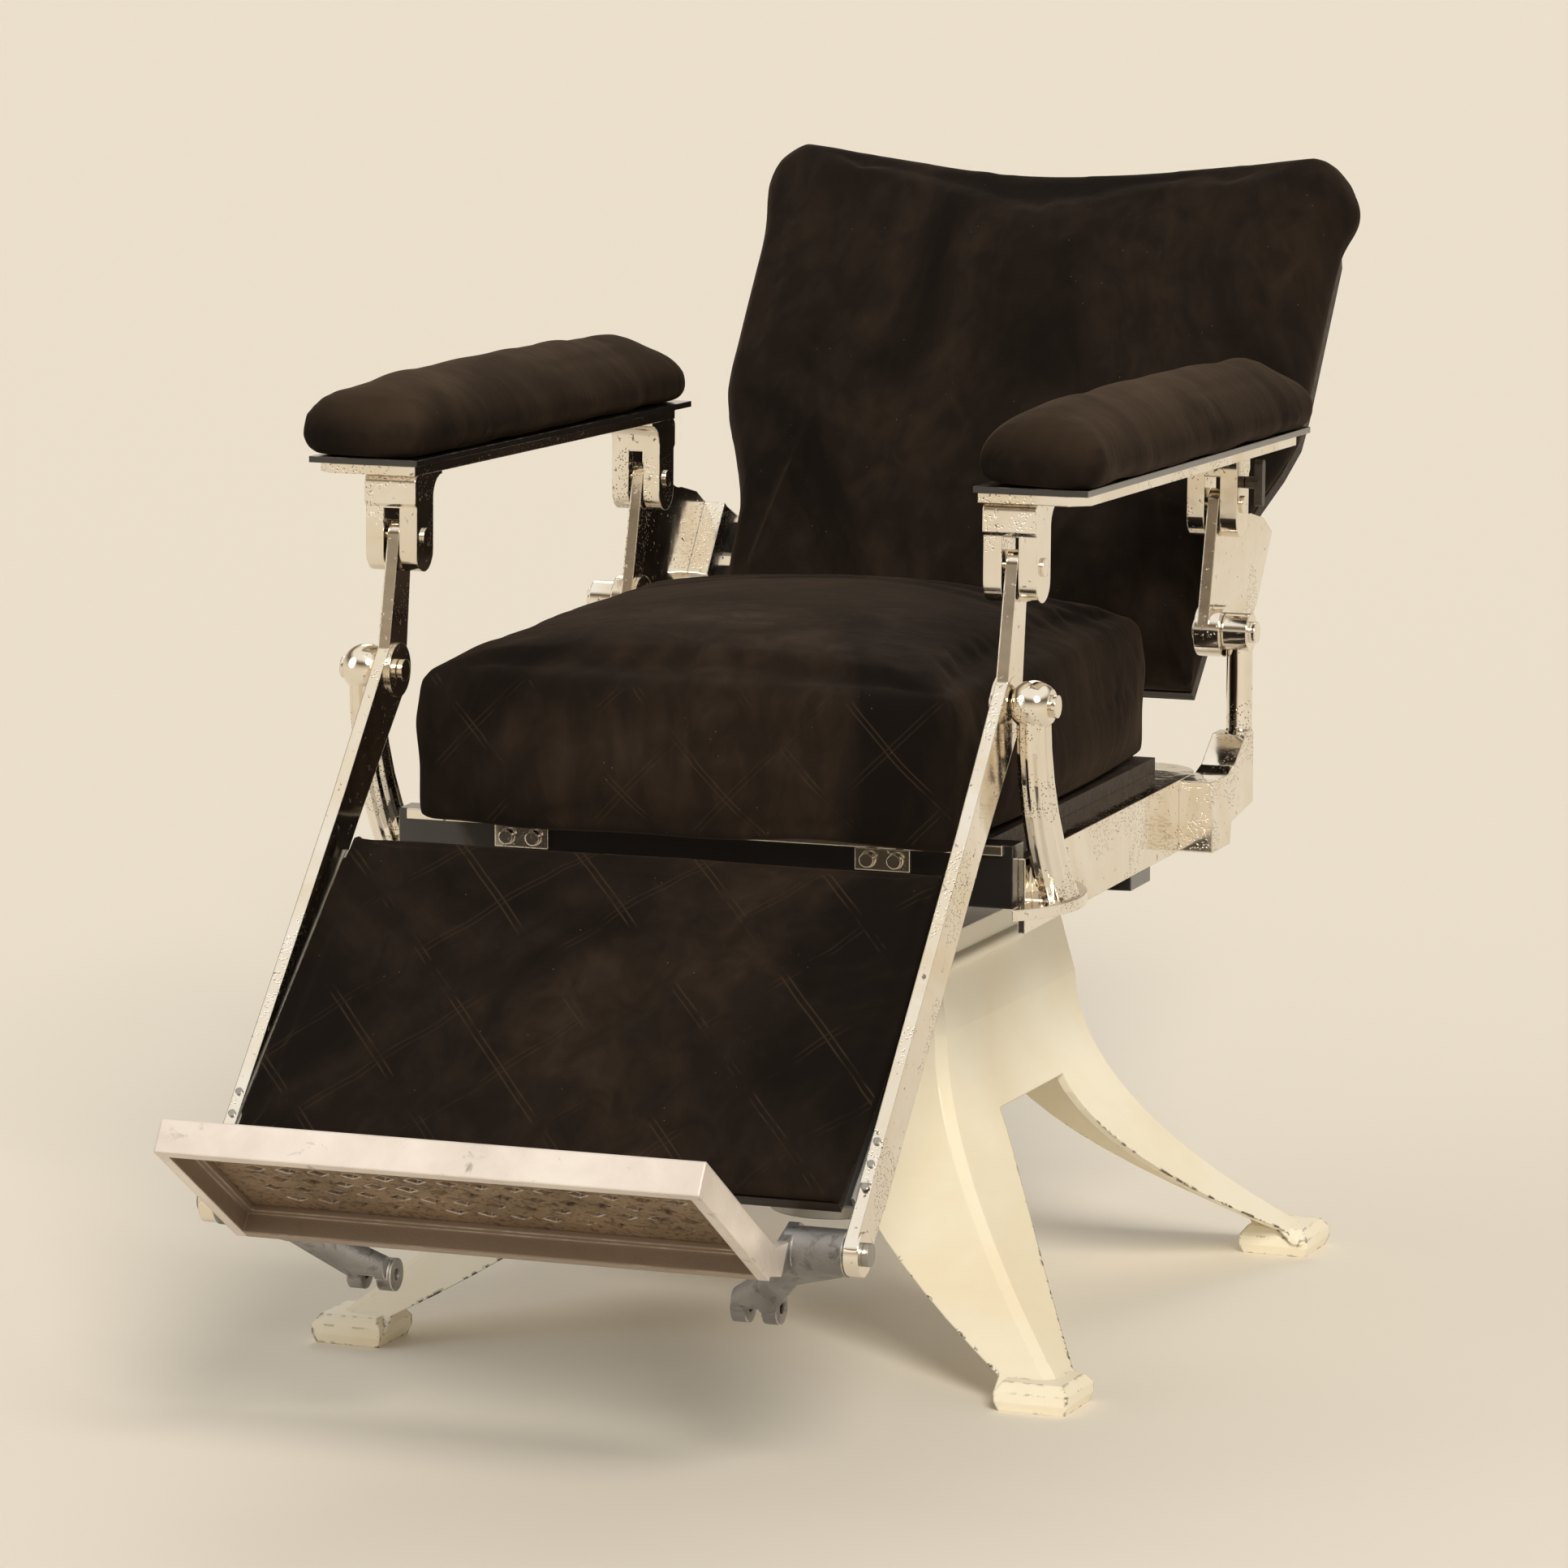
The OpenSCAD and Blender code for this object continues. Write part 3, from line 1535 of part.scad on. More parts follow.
// The pierced tread: a border round rows of diamond holes, set half a pitch apart
module tread_panel() {
    w = foot_half * 2 - rim_t * 2 - run_gap * 2;
    l = foot_plate_l - foot_plate_back - rim_t * 2 - run_gap * 2;
    row_pitch = tread_pitch * 0.75;
    cols = floor((w - tread_border * 2) / tread_pitch);
    rows = floor((l - tread_border * 2) / row_pitch);
    color(dull_alloy)
        in_footrest()
            translate([-w / 2, -foot_plate_l + rim_t + run_gap, -tread_drop - tread_t])
                linear_extrude(tread_t)
                    difference() {
                        square([w, l]);
                        for (r = [0:rows - 1], c = [0:cols - 1 - r % 2])
                            translate([
                                w / 2 + (c + (r % 2) / 2 - (cols - 1) / 2) * tread_pitch,
                                l / 2 + (r - (rows - 1) / 2) * row_pitch])
                                scale([1, 0.7])
                                    circle(r = tread_pitch * tread_hole_share, $fn = 4);
                    }
}

// Shoulder bolts that carry the footrest between the levers
module footrest_bolts() {
    head_x = lever_out + foot_hub_step;
    color(steel)
        in_legrest()
            both_sides() {
                rod(boss_in, head_x + pivot_head_t, [0, -leg_l], bolt_r);
                rod(head_x, head_x + pivot_head_t, [0, -leg_l], pivot_head_r);
            }
}

base_casting();
pump_cylinder();
flange_bolts();
gland_bush();
ram();
piston_seal();
thrust_washer();
saddle();
side_rail_left();
side_rail_right();
rear_cross_rail();
front_cross_member();
front_trim_strip();
seat_clips();
front_post_left();
front_post_right();
rear_post_left();
rear_post_right();
frame_bolts();
front_pivot_bolts();
rear_pivot_bolts();
seat_board();
seat_cushion();
back_arm_left();
back_arm_right();
back_straps();
back_board();
back_cushion();
arm_plate_left();
arm_plate_right();
arm_pad_left();
arm_pad_right();
arm_front_clevis_left();
arm_front_clevis_right();
arm_rear_clevis_left();
arm_rear_clevis_right();
arm_pins_left();
arm_pins_right();
arm_board_left();
arm_board_right();
thumb_screw();
legrest_lever_left();
legrest_lever_right();
legrest_angles();
legrest_board();
legrest_pad();
legrest_screws();
footrest_bolts();
footplate();
foot_bracket_left();
foot_bracket_right();
tread_panel();
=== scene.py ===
import json
import math

import bmesh
import bpy
import numpy as np
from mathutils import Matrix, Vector


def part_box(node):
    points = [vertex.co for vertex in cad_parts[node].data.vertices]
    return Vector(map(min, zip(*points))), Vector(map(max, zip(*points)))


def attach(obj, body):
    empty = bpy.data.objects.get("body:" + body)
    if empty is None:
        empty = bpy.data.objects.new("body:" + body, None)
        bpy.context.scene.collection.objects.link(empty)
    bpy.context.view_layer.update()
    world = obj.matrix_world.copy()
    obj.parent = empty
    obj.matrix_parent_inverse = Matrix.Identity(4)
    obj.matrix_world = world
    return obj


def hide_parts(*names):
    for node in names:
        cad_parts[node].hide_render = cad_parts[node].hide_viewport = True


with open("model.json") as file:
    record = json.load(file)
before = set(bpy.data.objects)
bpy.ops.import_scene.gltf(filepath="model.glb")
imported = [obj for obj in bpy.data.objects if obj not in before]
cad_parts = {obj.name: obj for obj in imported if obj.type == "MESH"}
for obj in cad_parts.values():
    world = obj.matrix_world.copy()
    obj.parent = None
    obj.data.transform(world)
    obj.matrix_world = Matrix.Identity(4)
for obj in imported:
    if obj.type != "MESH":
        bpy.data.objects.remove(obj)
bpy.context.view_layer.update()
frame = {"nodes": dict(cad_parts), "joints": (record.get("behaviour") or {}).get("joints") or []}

scene = bpy.context.scene

# Camera: a long lens a little above the armrests, ahead of the chair and to its
# right, so that the right armrest crosses the back.
camera_azimuth = math.radians(20.41)
camera_elevation = math.radians(9.41)
camera_distance = 6.006
camera_target = Vector((0.0, -0.124, 0.455))
camera_lens = 168.0
camera_sensor = 36.0

camera_data = bpy.data.cameras.new("camera")
camera_data.sensor_width = camera_sensor
camera_data.lens = camera_lens
camera = bpy.data.objects.new("camera", camera_data)
scene.collection.objects.link(camera)
towards_camera = Vector((
    math.sin(camera_azimuth) * math.cos(camera_elevation),
    -math.cos(camera_azimuth) * math.cos(camera_elevation),
    math.sin(camera_elevation)))
camera.location = camera_target + towards_camera * camera_distance
camera.rotation_euler = (-towards_camera).to_track_quat("-Z", "Y").to_euler()
scene.camera = camera
scene.view_settings.view_transform = "Standard"

# Floor: a plain pale studio floor that keeps the chair's shadow, and a surround
# that is pale at eye level, dim above that and bright overhead for the plating.
floor_half = 30.0
floor_colour = (0.80, 0.745, 0.65, 1.0)
floor_roughness = 0.85
surround_by_height = {
    0.0: (0.78, 0.70, 0.58, 1.0),
    0.12: (0.74, 0.65, 0.52, 1.0),
    0.40: (0.15, 0.11, 0.07, 1.0),
    0.52: (0.20, 0.15, 0.10, 1.0),
    0.70: (0.98, 0.94, 0.87, 1.0),
}
fill_colour = (1.0, 0.955, 0.885, 1.0)
fill_strength = 0.44


def put(tree, source, into):
    """Sets an input to a value, or links it where the source is an output."""
    if isinstance(source, bpy.types.NodeSocket):
        tree.links.new(source, into)
    else:
        into.default_value = source


def fill_in(tree, node, **sources):
    """Puts values or outputs into a node's inputs by name, with _ for a space."""
    for title, source in sources.items():
        put(tree, source, node.inputs[title.replace("_", " ")])


def new_node(tree, kind, **sources):
    """A shader node with its inputs filled in."""
    node = tree.nodes.new("ShaderNode" + kind)
    fill_in(tree, node, **sources)
    return node


def new_math(tree, operation, first, second=0.0, clamped=True):
    """A sum, product or the like of two outputs or values."""
    node = new_node(tree, "Math")
    node.operation = operation
    node.use_clamp = clamped
    put(tree, first, node.inputs[0])
    put(tree, second, node.inputs[1])
    return node.outputs[0]


floor_bm = bmesh.new()
bmesh.ops.create_grid(floor_bm, x_segments=1, y_segments=1, size=floor_half)
floor_mesh = bpy.data.meshes.new("floor")
floor_bm.to_mesh(floor_mesh)
floor_bm.free()
floor = bpy.data.objects.new("floor", floor_mesh)
scene.collection.objects.link(floor)
floor_material = bpy.data.materials.new("pale_floor")
floor_material.use_nodes = True
fill_in(floor_material.node_tree, floor_material.node_tree.nodes["Principled BSDF"],
        Base_Color=floor_colour, Roughness=floor_roughness)
floor_mesh.materials.append(floor_material)

world = bpy.data.worlds.new("surround")
world.use_nodes = True
scene.world = world
sky = world.node_tree
sky.nodes.clear()
sky_way = new_node(sky, "TexCoord")
sky_split = new_node(sky, "SeparateXYZ", Vector=sky_way.outputs["Generated"])
sky_ramp = new_node(sky, "ValToRGB", Fac=sky_split.outputs["Z"])
sky_stops = sky_ramp.color_ramp.elements
for place, (height, tone) in enumerate(surround_by_height.items()):
    stop = sky_stops.new(height) if place > 1 else sky_stops[place]
    stop.position = height
    stop.color = tone
sky_seen = new_node(sky, "Background", Color=sky_ramp.outputs["Color"], Strength=1.0)
sky_fill = new_node(sky, "Background", Color=fill_colour, Strength=fill_strength)
sky_path = new_node(sky, "LightPath")
sky_share = new_math(sky, "ADD", sky_path.outputs["Is Camera Ray"], sky_path.outputs["Is Glossy Ray"])
sky_share = new_math(sky, "ADD", sky_share, sky_path.outputs["Is Transmission Ray"])
sky_blend = new_node(sky, "MixShader", Fac=sky_share)
put(sky, sky_fill.outputs[0], sky_blend.inputs[1])
put(sky, sky_seen.outputs[0], sky_blend.inputs[2])
new_node(sky, "OutputWorld", Surface=sky_blend.outputs[0])

# Lamps: a broad warm key from the front right, a softer fill from the left and
# a low one from behind that draws the edges of the dark cloth. All are suns, so
# the floor is lit evenly.
# each lamp: place, spread in degrees, power and colour
lamps = {
    "key": ((1.9, -2.9, 2.9), 22.0, 2.25, (1.0, 0.95, 0.86)),
    "fill": ((-3.0, -2.2, 1.9), 40.0, 0.60, (1.0, 0.97, 0.93)),
    "rim": ((-0.8, 2.6, 2.5), 30.0, 0.45, (1.0, 0.95, 0.88)),
}
for lamp_name, (lamp_place, lamp_spread, lamp_power, lamp_colour) in lamps.items():
    lamp_data = bpy.data.lights.new(lamp_name, "SUN")
    lamp_data.angle = math.radians(lamp_spread)
    lamp_data.energy = lamp_power
    lamp_data.color = lamp_colour
    lamp = bpy.data.objects.new(lamp_name, lamp_data)
    scene.collection.objects.link(lamp)
    lamp.location = lamp_place
    lamp.rotation_euler = (camera_target - lamp.location).to_track_quat("-Z", "Y").to_euler()

# Base casting: one iron casting with four splayed legs, brush-painted in cream
# enamel that has yellowed and chipped to rusty iron along its lower edges.
enamel_cream = (0.95, 0.885, 0.715, 1.0)
enamel_yellow = (0.88, 0.76, 0.53, 1.0)
rusty_iron = (0.050, 0.022, 0.011, 1.0)
sound_above = 0.20
chipped_below = 0.02
nodes_of = frame["nodes"]


def new_material(name):
    """A new material, its node tree and its shader."""
    material = bpy.data.materials.new(name)
    material.use_nodes = True
    tree = material.node_tree
    return material, tree, tree.nodes["Principled BSDF"]


def dress(material, *names):
    """Gives CAD nodes their finish."""
    for name in names:
        mesh = nodes_of[name].data
        mesh.materials.clear()
        mesh.materials.append(material)


def new_group(name, inputs, outputs):
    """A shader node group. Its inputs are (name, kind, value) and its outputs (name, kind)."""
    tree = bpy.data.node_groups.new(name, "ShaderNodeTree")
    for title, kind, value in inputs:
        socket = tree.interface.new_socket(name=title, in_out="INPUT", socket_type="NodeSocket" + kind)
        socket.default_value = value
    for title, kind in outputs:
        tree.interface.new_socket(name=title, in_out="OUTPUT", socket_type="NodeSocket" + kind)
    return tree, tree.nodes.new("NodeGroupInput"), tree.nodes.new("NodeGroupOutput")


def place_group(tree, group, **sources):
    """A group in a material, with its own values."""
    node = new_node(tree, "Group")
    node.node_tree = group
    fill_in(tree, node, **sources)
    return node


def new_vectors(tree, operation, first, second):
    """A product of two vectors, each an output or a value."""
    node = new_node(tree, "VectorMath")
    node.operation = operation
    put(tree, first, node.inputs[0])
    put(tree, second, node.inputs[1])
    return node


def new_mix(tree, factor, first, second):
    """A colour between two, each an output or a value."""
    node = new_node(tree, "Mix")
    node.data_type = "RGBA"
    fill_in(tree, node, Factor=factor, A=first, B=second)
    return node.outputs["Result"]


def new_range(tree, value, low=0.0, high=1.0, first=0.0, last=1.0):
    """A value's range from low to high, spread from first to last."""
    node = new_node(tree, "MapRange", Value=value, From_Min=low, From_Max=high, To_Min=first, To_Max=last)
    return node.outputs["Result"]


def new_bump(tree, height, normal=None, strength=1.0, distance=0.001, sunk=False):
    """The normal of a surface that a height raises, or sinks, on top of another normal."""
    node = new_node(tree, "Bump", Height=height, Strength=strength, Distance=distance)
    node.invert = sunk
    if normal is not None:
        fill_in(tree, node, Normal=normal)
    return node.outputs["Normal"]


# Worn edge: a mask along the edges of a piece and a normal that rounds them
edge_group, edge_in, edge_out = new_group(
    "Worn edge",
    [("Radius", "Float", 0.002), ("Break up", "Float", 60.0)],
    [("Mask", "Float"), ("Normal", "Vector")])
edge_bevel = new_node(edge_group, "Bevel", Radius=edge_in.outputs["Radius"])
edge_bevel.samples = 6
edge_flat = new_node(edge_group, "NewGeometry")
edge_turn = new_vectors(edge_group, "DOT_PRODUCT", edge_bevel.outputs["Normal"], edge_flat.outputs["Normal"])
edge_near = new_range(edge_group, edge_turn.outputs["Value"], low=0.995, high=0.80)
edge_coord = new_node(edge_group, "TexCoord")
edge_noise = new_node(edge_group, "TexNoise", Vector=edge_coord.outputs["Object"],
                      Scale=edge_in.outputs["Break up"], Detail=4.0, Roughness=0.65)
edge_patch = new_range(edge_group, edge_noise.outputs["Fac"], low=0.42, high=0.62)
fill_in(edge_group, edge_out, Mask=new_math(edge_group, "MULTIPLY", edge_near, edge_patch),
        Normal=edge_bevel.outputs["Normal"])

# Cloud: a soft uneven mask, such as age, handling or polish leaves
cloud_group, cloud_in, cloud_out = new_group(
    "Cloud",
    [("Scale", "Float", 8.0), ("Stretch", "Vector", (1.0, 1.0, 1.0)), ("Low", "Float", 0.35),
     ("High", "Float", 0.7), ("Warp", "Float", 0.4)],
    [("Mask", "Float")])
cloud_coord = new_node(cloud_group, "TexCoord")
cloud_places = new_vectors(
    cloud_group, "MULTIPLY", cloud_coord.outputs["Object"], cloud_in.outputs["Stretch"])
cloud_noise = new_node(cloud_group, "TexNoise", Vector=cloud_places.outputs["Vector"],
                       Scale=cloud_in.outputs["Scale"], Detail=5.0, Roughness=0.55,
                       Distortion=cloud_in.outputs["Warp"])
fill_in(cloud_group, cloud_out, Mask=new_range(
    cloud_group, cloud_noise.outputs["Fac"], cloud_in.outputs["Low"], cloud_in.outputs["High"]))

# Specks: small round pits or lint, thinned out by a cloud
speck_group, speck_in, speck_out = new_group(
    "Specks",
    [("Scale", "Float", 300.0), ("Size", "Float", 0.2), ("Patches", "Float", 12.0),
     ("Amount", "Float", 0.5)],
    [("Mask", "Float")])
speck_coord = new_node(speck_group, "TexCoord")
speck_cells = new_node(speck_group, "TexVoronoi", Vector=speck_coord.outputs["Object"],
                       Scale=speck_in.outputs["Scale"])
speck_noise = new_node(speck_group, "TexNoise", Vector=speck_coord.outputs["Object"],
                       Scale=speck_in.outputs["Patches"], Detail=3.0)
speck_dot = new_math(speck_group, "LESS_THAN", speck_cells.outputs["Distance"], speck_in.outputs["Size"])
speck_here = new_math(speck_group, "LESS_THAN", speck_noise.outputs["Fac"], speck_in.outputs["Amount"])
fill_in(speck_group, speck_out, Mask=new_math(speck_group, "MULTIPLY", speck_dot, speck_here))

enamel, tree, shader = new_material("cream_enamel")
aged = place_group(tree, cloud_group, Scale=5.0, Low=0.40, High=0.75)
worn = place_group(tree, edge_group, Radius=0.006, Break_up=42.0)
fine = place_group(tree, edge_group, Radius=0.0022)
chips = place_group(tree, cloud_group, Scale=120.0, Low=0.47, High=0.53)
coord = new_node(tree, "TexCoord")
split = new_node(tree, "SeparateXYZ", Vector=coord.outputs["Object"])
low_down = new_range(tree, split.outputs["Z"], low=sound_above, high=chipped_below, first=0.12)
edge_low = new_math(tree, "MULTIPLY", worn.outputs["Mask"], low_down)
chipped = new_range(tree, new_math(tree, "MULTIPLY", edge_low, chips.outputs["Mask"]), low=0.20, high=0.32)
paint = new_mix(tree, aged.outputs["Mask"], enamel_cream, enamel_yellow)
brushed = new_node(tree, "TexNoise", Vector=coord.outputs["Object"], Scale=22.0, Detail=3.0)
ridges = new_bump(tree, brushed.outputs["Fac"], fine.outputs["Normal"], strength=0.10, distance=0.004)
fill_in(tree, shader,
        Base_Color=new_mix(tree, chipped, paint, rusty_iron),
        Roughness=new_range(tree, chipped, first=0.30, last=0.85),
        Normal=new_bump(tree, chipped, ridges, strength=0.7, distance=0.0006, sunk=True),
        Coat_Weight=0.25, Coat_Roughness=0.15)
dress(enamel, "base_casting")

# Pump and ram: a plain steel cylinder and its bolts, a polished ram, a bronze
# bush and washer, and a rubber seal in the piston's groove.
steel_grey = (0.42, 0.41, 0.39, 1.0)
steel_dark = (0.29, 0.27, 0.25, 1.0)
ram_bright = (0.62, 0.61, 0.59, 1.0)
ram_dull = (0.5, 0.48, 0.45, 1.0)
bronze_bright = (0.60, 0.40, 0.19, 1.0)
bronze_dull = (0.30, 0.19, 0.10, 1.0)
rubber_black = (0.018, 0.018, 0.018, 1.0)
rubber_grey = (0.05, 0.05, 0.048, 1.0)


def plain_finish(name, first, second, metal, smooth, rough, scale):
    """A finish of two colours in soft patches, with roughness to match and rounded edges."""
    material, tree, shader = new_material(name)
    cloud = place_group(tree, cloud_group, Scale=scale, Low=0.35, High=0.68)
    edge = place_group(tree, edge_group, Radius=0.0015)
    fill_in(tree, shader,
            Base_Color=new_mix(tree, cloud.outputs["Mask"], first, second),
            Roughness=new_range(tree, cloud.outputs["Mask"], first=smooth, last=rough),
            Normal=edge.outputs["Normal"], Metallic=metal)
    return material


dress(plain_finish("plain_steel", steel_grey, steel_dark, metal=1.0, smooth=0.30, rough=0.48, scale=9.0),
      "pump_cylinder", "flange_bolts", "frame_bolts", "back_straps", "legrest_angles",
      "legrest_screws", "footrest_bolts")
dress(plain_finish("polished_ram", ram_bright, ram_dull, metal=1.0, smooth=0.10, rough=0.20, scale=12.0),
      "ram")
dress(plain_finish("bronze", bronze_bright, bronze_dull, metal=1.0, smooth=0.30, rough=0.50, scale=40.0),
      "gland_bush", "thrust_washer")
dress(plain_finish("seal_rubber", rubber_black, rubber_grey, metal=0.0, smooth=0.70, rough=0.85, scale=60.0),
      "piston_seal")

# Saddle, front cross-member and arm boards: iron and wood under thick black
# enamel, glossy enough to mirror the legrest, with the paint rubbed on the edges.
enamel_black = (0.014, 0.012, 0.011, 1.0)
rubbed_iron = (0.16, 0.12, 0.09, 1.0)

black_enamel, tree, shader = new_material("black_enamel")
worn = place_group(tree, edge_group, Radius=0.0018, Break_up=70.0)
dust = place_group(tree, cloud_group, Scale=18.0, Low=0.40, High=0.80)
rub = new_range(tree, worn.outputs["Mask"], low=0.35, high=0.75)
fill_in(tree, shader,
        Base_Color=new_mix(tree, rub, enamel_black, rubbed_iron),
        Roughness=new_range(tree, dust.outputs["Mask"], first=0.10, last=0.30),
        Normal=worn.outputs["Normal"],
        Coat_Weight=0.6, Coat_Roughness=0.08)
dress(black_enamel, "saddle", "front_cross_member", "arm_board_left", "arm_board_right")

# Plated ironwork: rails, posts, links, armrest plates and brackets in old nickel
# plate, hand-polished, with pits, brown tarnish and edges worn dull. The thumb
# screw beside them is blackened steel.
plate_bright = (0.88, 0.83, 0.75, 1.0)
plate_warm = (0.76, 0.65, 0.48, 1.0)
tarnish = (0.10, 0.065, 0.038, 1.0)
screw_black = (0.05, 0.045, 0.04, 1.0)
screw_worn = (0.12, 0.10, 0.08, 1.0)
plated_names = ("side_rail", "rear_cross", "front_trim", "seat_clips", "front_post", "rear_post",
                "front_pivot", "rear_pivot", "back_arm", "arm_plate", "arm_front", "arm_rear", "arm_pins",
                "legrest_lever")

plating, tree, shader = new_material("old_plating")
cloud = place_group(tree, cloud_group, Scale=9.0, Low=0.42, High=0.78, Warp=0.8)
pitted = place_group(tree, speck_group, Scale=420.0, Size=0.26, Patches=14.0, Amount=0.46)
blotches = place_group(tree, cloud_group, Scale=150.0, Low=0.66, High=0.72)
edge = place_group(tree, edge_group, Radius=0.0016, Break_up=90.0)
edge_stain = new_range(tree, edge.outputs["Mask"], low=0.55, last=0.6)
stained = new_math(tree, "MAXIMUM", pitted.outputs["Mask"], blotches.outputs["Mask"])
stained = new_math(tree, "MAXIMUM", stained, edge_stain)
bright = new_mix(tree, cloud.outputs["Mask"], plate_bright, plate_warm)
shine = new_range(tree, cloud.outputs["Mask"], first=0.07, last=0.22)
coord = new_node(tree, "TexCoord")
wavy = new_node(tree, "TexNoise", Vector=coord.outputs["Object"], Scale=26.0, Detail=2.0)
waves = new_bump(tree, wavy.outputs["Fac"], edge.outputs["Normal"], strength=0.16, distance=0.003)
fill_in(tree, shader,
        Base_Color=new_mix(tree, new_math(tree, "MULTIPLY", stained, 0.8), bright, tarnish),
        Roughness=new_math(tree, "ADD", shine, new_math(tree, "MULTIPLY", stained, 0.35)),
        Normal=new_bump(tree, stained, waves, strength=0.4, distance=0.0004, sunk=True),
        Metallic=1.0)
dress(plating, *[name for name in nodes_of if name.startswith(plated_names)])
dress(plain_finish("dark_steel", screw_black, screw_worn, metal=0.8, smooth=0.3, rough=0.5, scale=60.0),
      "thumb_screw")

# Boards under the seat, behind the back and under the legrest: softwood stained
# almost black, with its grain running across the chair.
wood_brown = (0.030, 0.016, 0.009, 1.0)
wood_dark = (0.012, 0.007, 0.004, 1.0)
grain_stretch = (3.0, 40.0, 40.0)

board_wood, tree, shader = new_material("stained_board")
coord = new_node(tree, "TexCoord")
stretch = new_node(tree, "Mapping", Vector=coord.outputs["Object"], Scale=grain_stretch)
grain = new_node(tree, "TexNoise", Vector=stretch.outputs["Vector"], Scale=4.0, Detail=6.0, Roughness=0.6,
                 Distortion=0.6)
edge = place_group(tree, edge_group, Radius=0.001)
lines = new_range(tree, grain.outputs["Fac"], low=0.38, high=0.62)
fill_in(tree, shader,
        Base_Color=new_mix(tree, lines, wood_dark, wood_brown),
        Roughness=new_range(tree, lines, first=0.45, last=0.65),
        Normal=new_bump(tree, grain.outputs["Fac"], edge.outputs["Normal"], strength=0.25,
                        distance=0.0005))
dress(board_wood, "seat_board", "back_board", "legrest_board")

# Footrest: sand-cast aluminium, its rim scuffed bright by shoes outside and given
# painted shade in brown on its inner faces, its pierced tread brown with dirt, its brackets grey.
alloy_bright = (0.84, 0.76, 0.69, 1.0)
alloy_dull = (0.66, 0.585, 0.53, 1.0)
# A brown painted on the rim's inner faces as painted shade.
alloy_inside_shade = (0.27, 0.19, 0.125, 1.0)
alloy_dirt = (0.055, 0.036, 0.022, 1.0)
tread_brown = (0.34, 0.24, 0.15, 1.0)
tread_dark = (0.21, 0.145, 0.09, 1.0)
bracket_grey = (0.34, 0.33, 0.32, 1.0)
bracket_dark = (0.20, 0.19, 0.185, 1.0)
foot_slope = math.radians(33.2)
pivot_of = {joint["name"]: joint.get("pos_m") for joint in frame["joints"]}
foot_pivot = Vector(pivot_of["footrest_flip"])
foot_inside_half = 0.2072
foot_inside_front = -0.2092
foot_inside_blend = 0.001


def leaning(lean):
    """The ways up and out of the rear of a panel that leans back."""
    up = Vector((0.0, math.sin(lean), math.cos(lean)))
    return up, Vector((0.0, math.cos(lean), -math.sin(lean)))


foot_back = leaning(foot_slope)[1]


def inside_rim(tree, coord):
    """A mask of the footplate's rim that is 1 on its inner faces, behind its front bar, where shade is
    painted.
    """
    split = new_node(tree, "SeparateXYZ", Vector=coord.outputs["Object"])
    across = new_math(tree, "ABSOLUTE", split.outputs["X"])
    along = new_vectors(tree, "DOT_PRODUCT", coord.outputs["Object"], foot_back)
    front = foot_pivot.dot(foot_back) + foot_inside_front
    behind = new_range(tree, along.outputs["Value"], low=front, high=front + foot_inside_blend)
    return new_math(tree, "MULTIPLY", new_math(tree, "LESS_THAN", across, foot_inside_half), behind)


def cast_alloy(name, first, second, dirt_scale, dirt_low, dirt_high, rough, metal, shaded_inside=False):
    """Sand-cast aluminium of two tones, with more or less dirt in its grain, and where asked painted shade
    in brown on the rim's inner faces.
    """
    material, tree, shader = new_material(name)
    cloud = place_group(tree, cloud_group, Scale=14.0, Low=0.35, High=0.70)
    dirt = place_group(tree, cloud_group, Scale=dirt_scale, Low=dirt_low, High=dirt_high, Warp=0.5)
    edge = place_group(tree, edge_group, Radius=0.0025, Break_up=30.0)
    coord = new_node(tree, "TexCoord")
    sand = new_node(tree, "TexNoise", Vector=coord.outputs["Object"], Scale=650.0, Detail=3.0)
    clean = new_mix(tree, cloud.outputs["Mask"], first, second)
    dirt_and_shade = new_mix(tree, dirt.outputs["Mask"], clean, alloy_dirt)
    scuffed = new_range(tree, edge.outputs["Mask"], low=0.2, high=0.7)
    if shaded_inside:
        # Painted shade: the rim's inner faces are painted brown and get fewer bright scuffed edges.
        inside = inside_rim(tree, coord)
        dirt_and_shade = new_mix(tree, new_math(tree, "MULTIPLY", inside, 0.85), dirt_and_shade, alloy_inside_shade)
        scuffed = new_math(tree, "MULTIPLY", scuffed, new_range(tree, inside, first=1.0, last=0.35))
    fill_in(tree, shader,
            Base_Color=new_mix(tree, scuffed, dirt_and_shade, alloy_bright),
            Roughness=new_range(tree, cloud.outputs["Mask"], first=rough, last=rough + 0.2),
            Normal=new_bump(tree, sand.outputs["Fac"], edge.outputs["Normal"], strength=0.35,
                            distance=0.0006),
            Metallic=metal)
    return material


# The rim's inner faces get painted shade.
dress(cast_alloy("scuffed_rim", alloy_bright, alloy_dull, dirt_scale=60.0, dirt_low=0.64, dirt_high=0.88,
                 rough=0.30, metal=0.55, shaded_inside=True), "footplate")
dress(cast_alloy("brown_tread", tread_brown, tread_dark, dirt_scale=210.0, dirt_low=0.50, dirt_high=0.70,
                 rough=0.46, metal=0.7), "tread_panel")
dress(cast_alloy("grey_casting", bracket_grey, bracket_dark, dirt_scale=80.0, dirt_low=0.55, dirt_high=0.80,
                 rough=0.38, metal=0.85), "foot_bracket_left", "foot_bracket_right")

# Velvet: near-black brown cotton velvet with a short pile. Hands have brushed the
# pile into paler patches, white lint sticks to it, and the diamond quilting has
# worn down to pairs of pressed lines. Where asked, its top faces are painted a
# paler brown, partly as wear from hands and partly as a painted highlight.
pile_dark = (0.0060, 0.0038, 0.0026, 1.0)
pile_brushed = (0.036, 0.0225, 0.0140, 1.0)
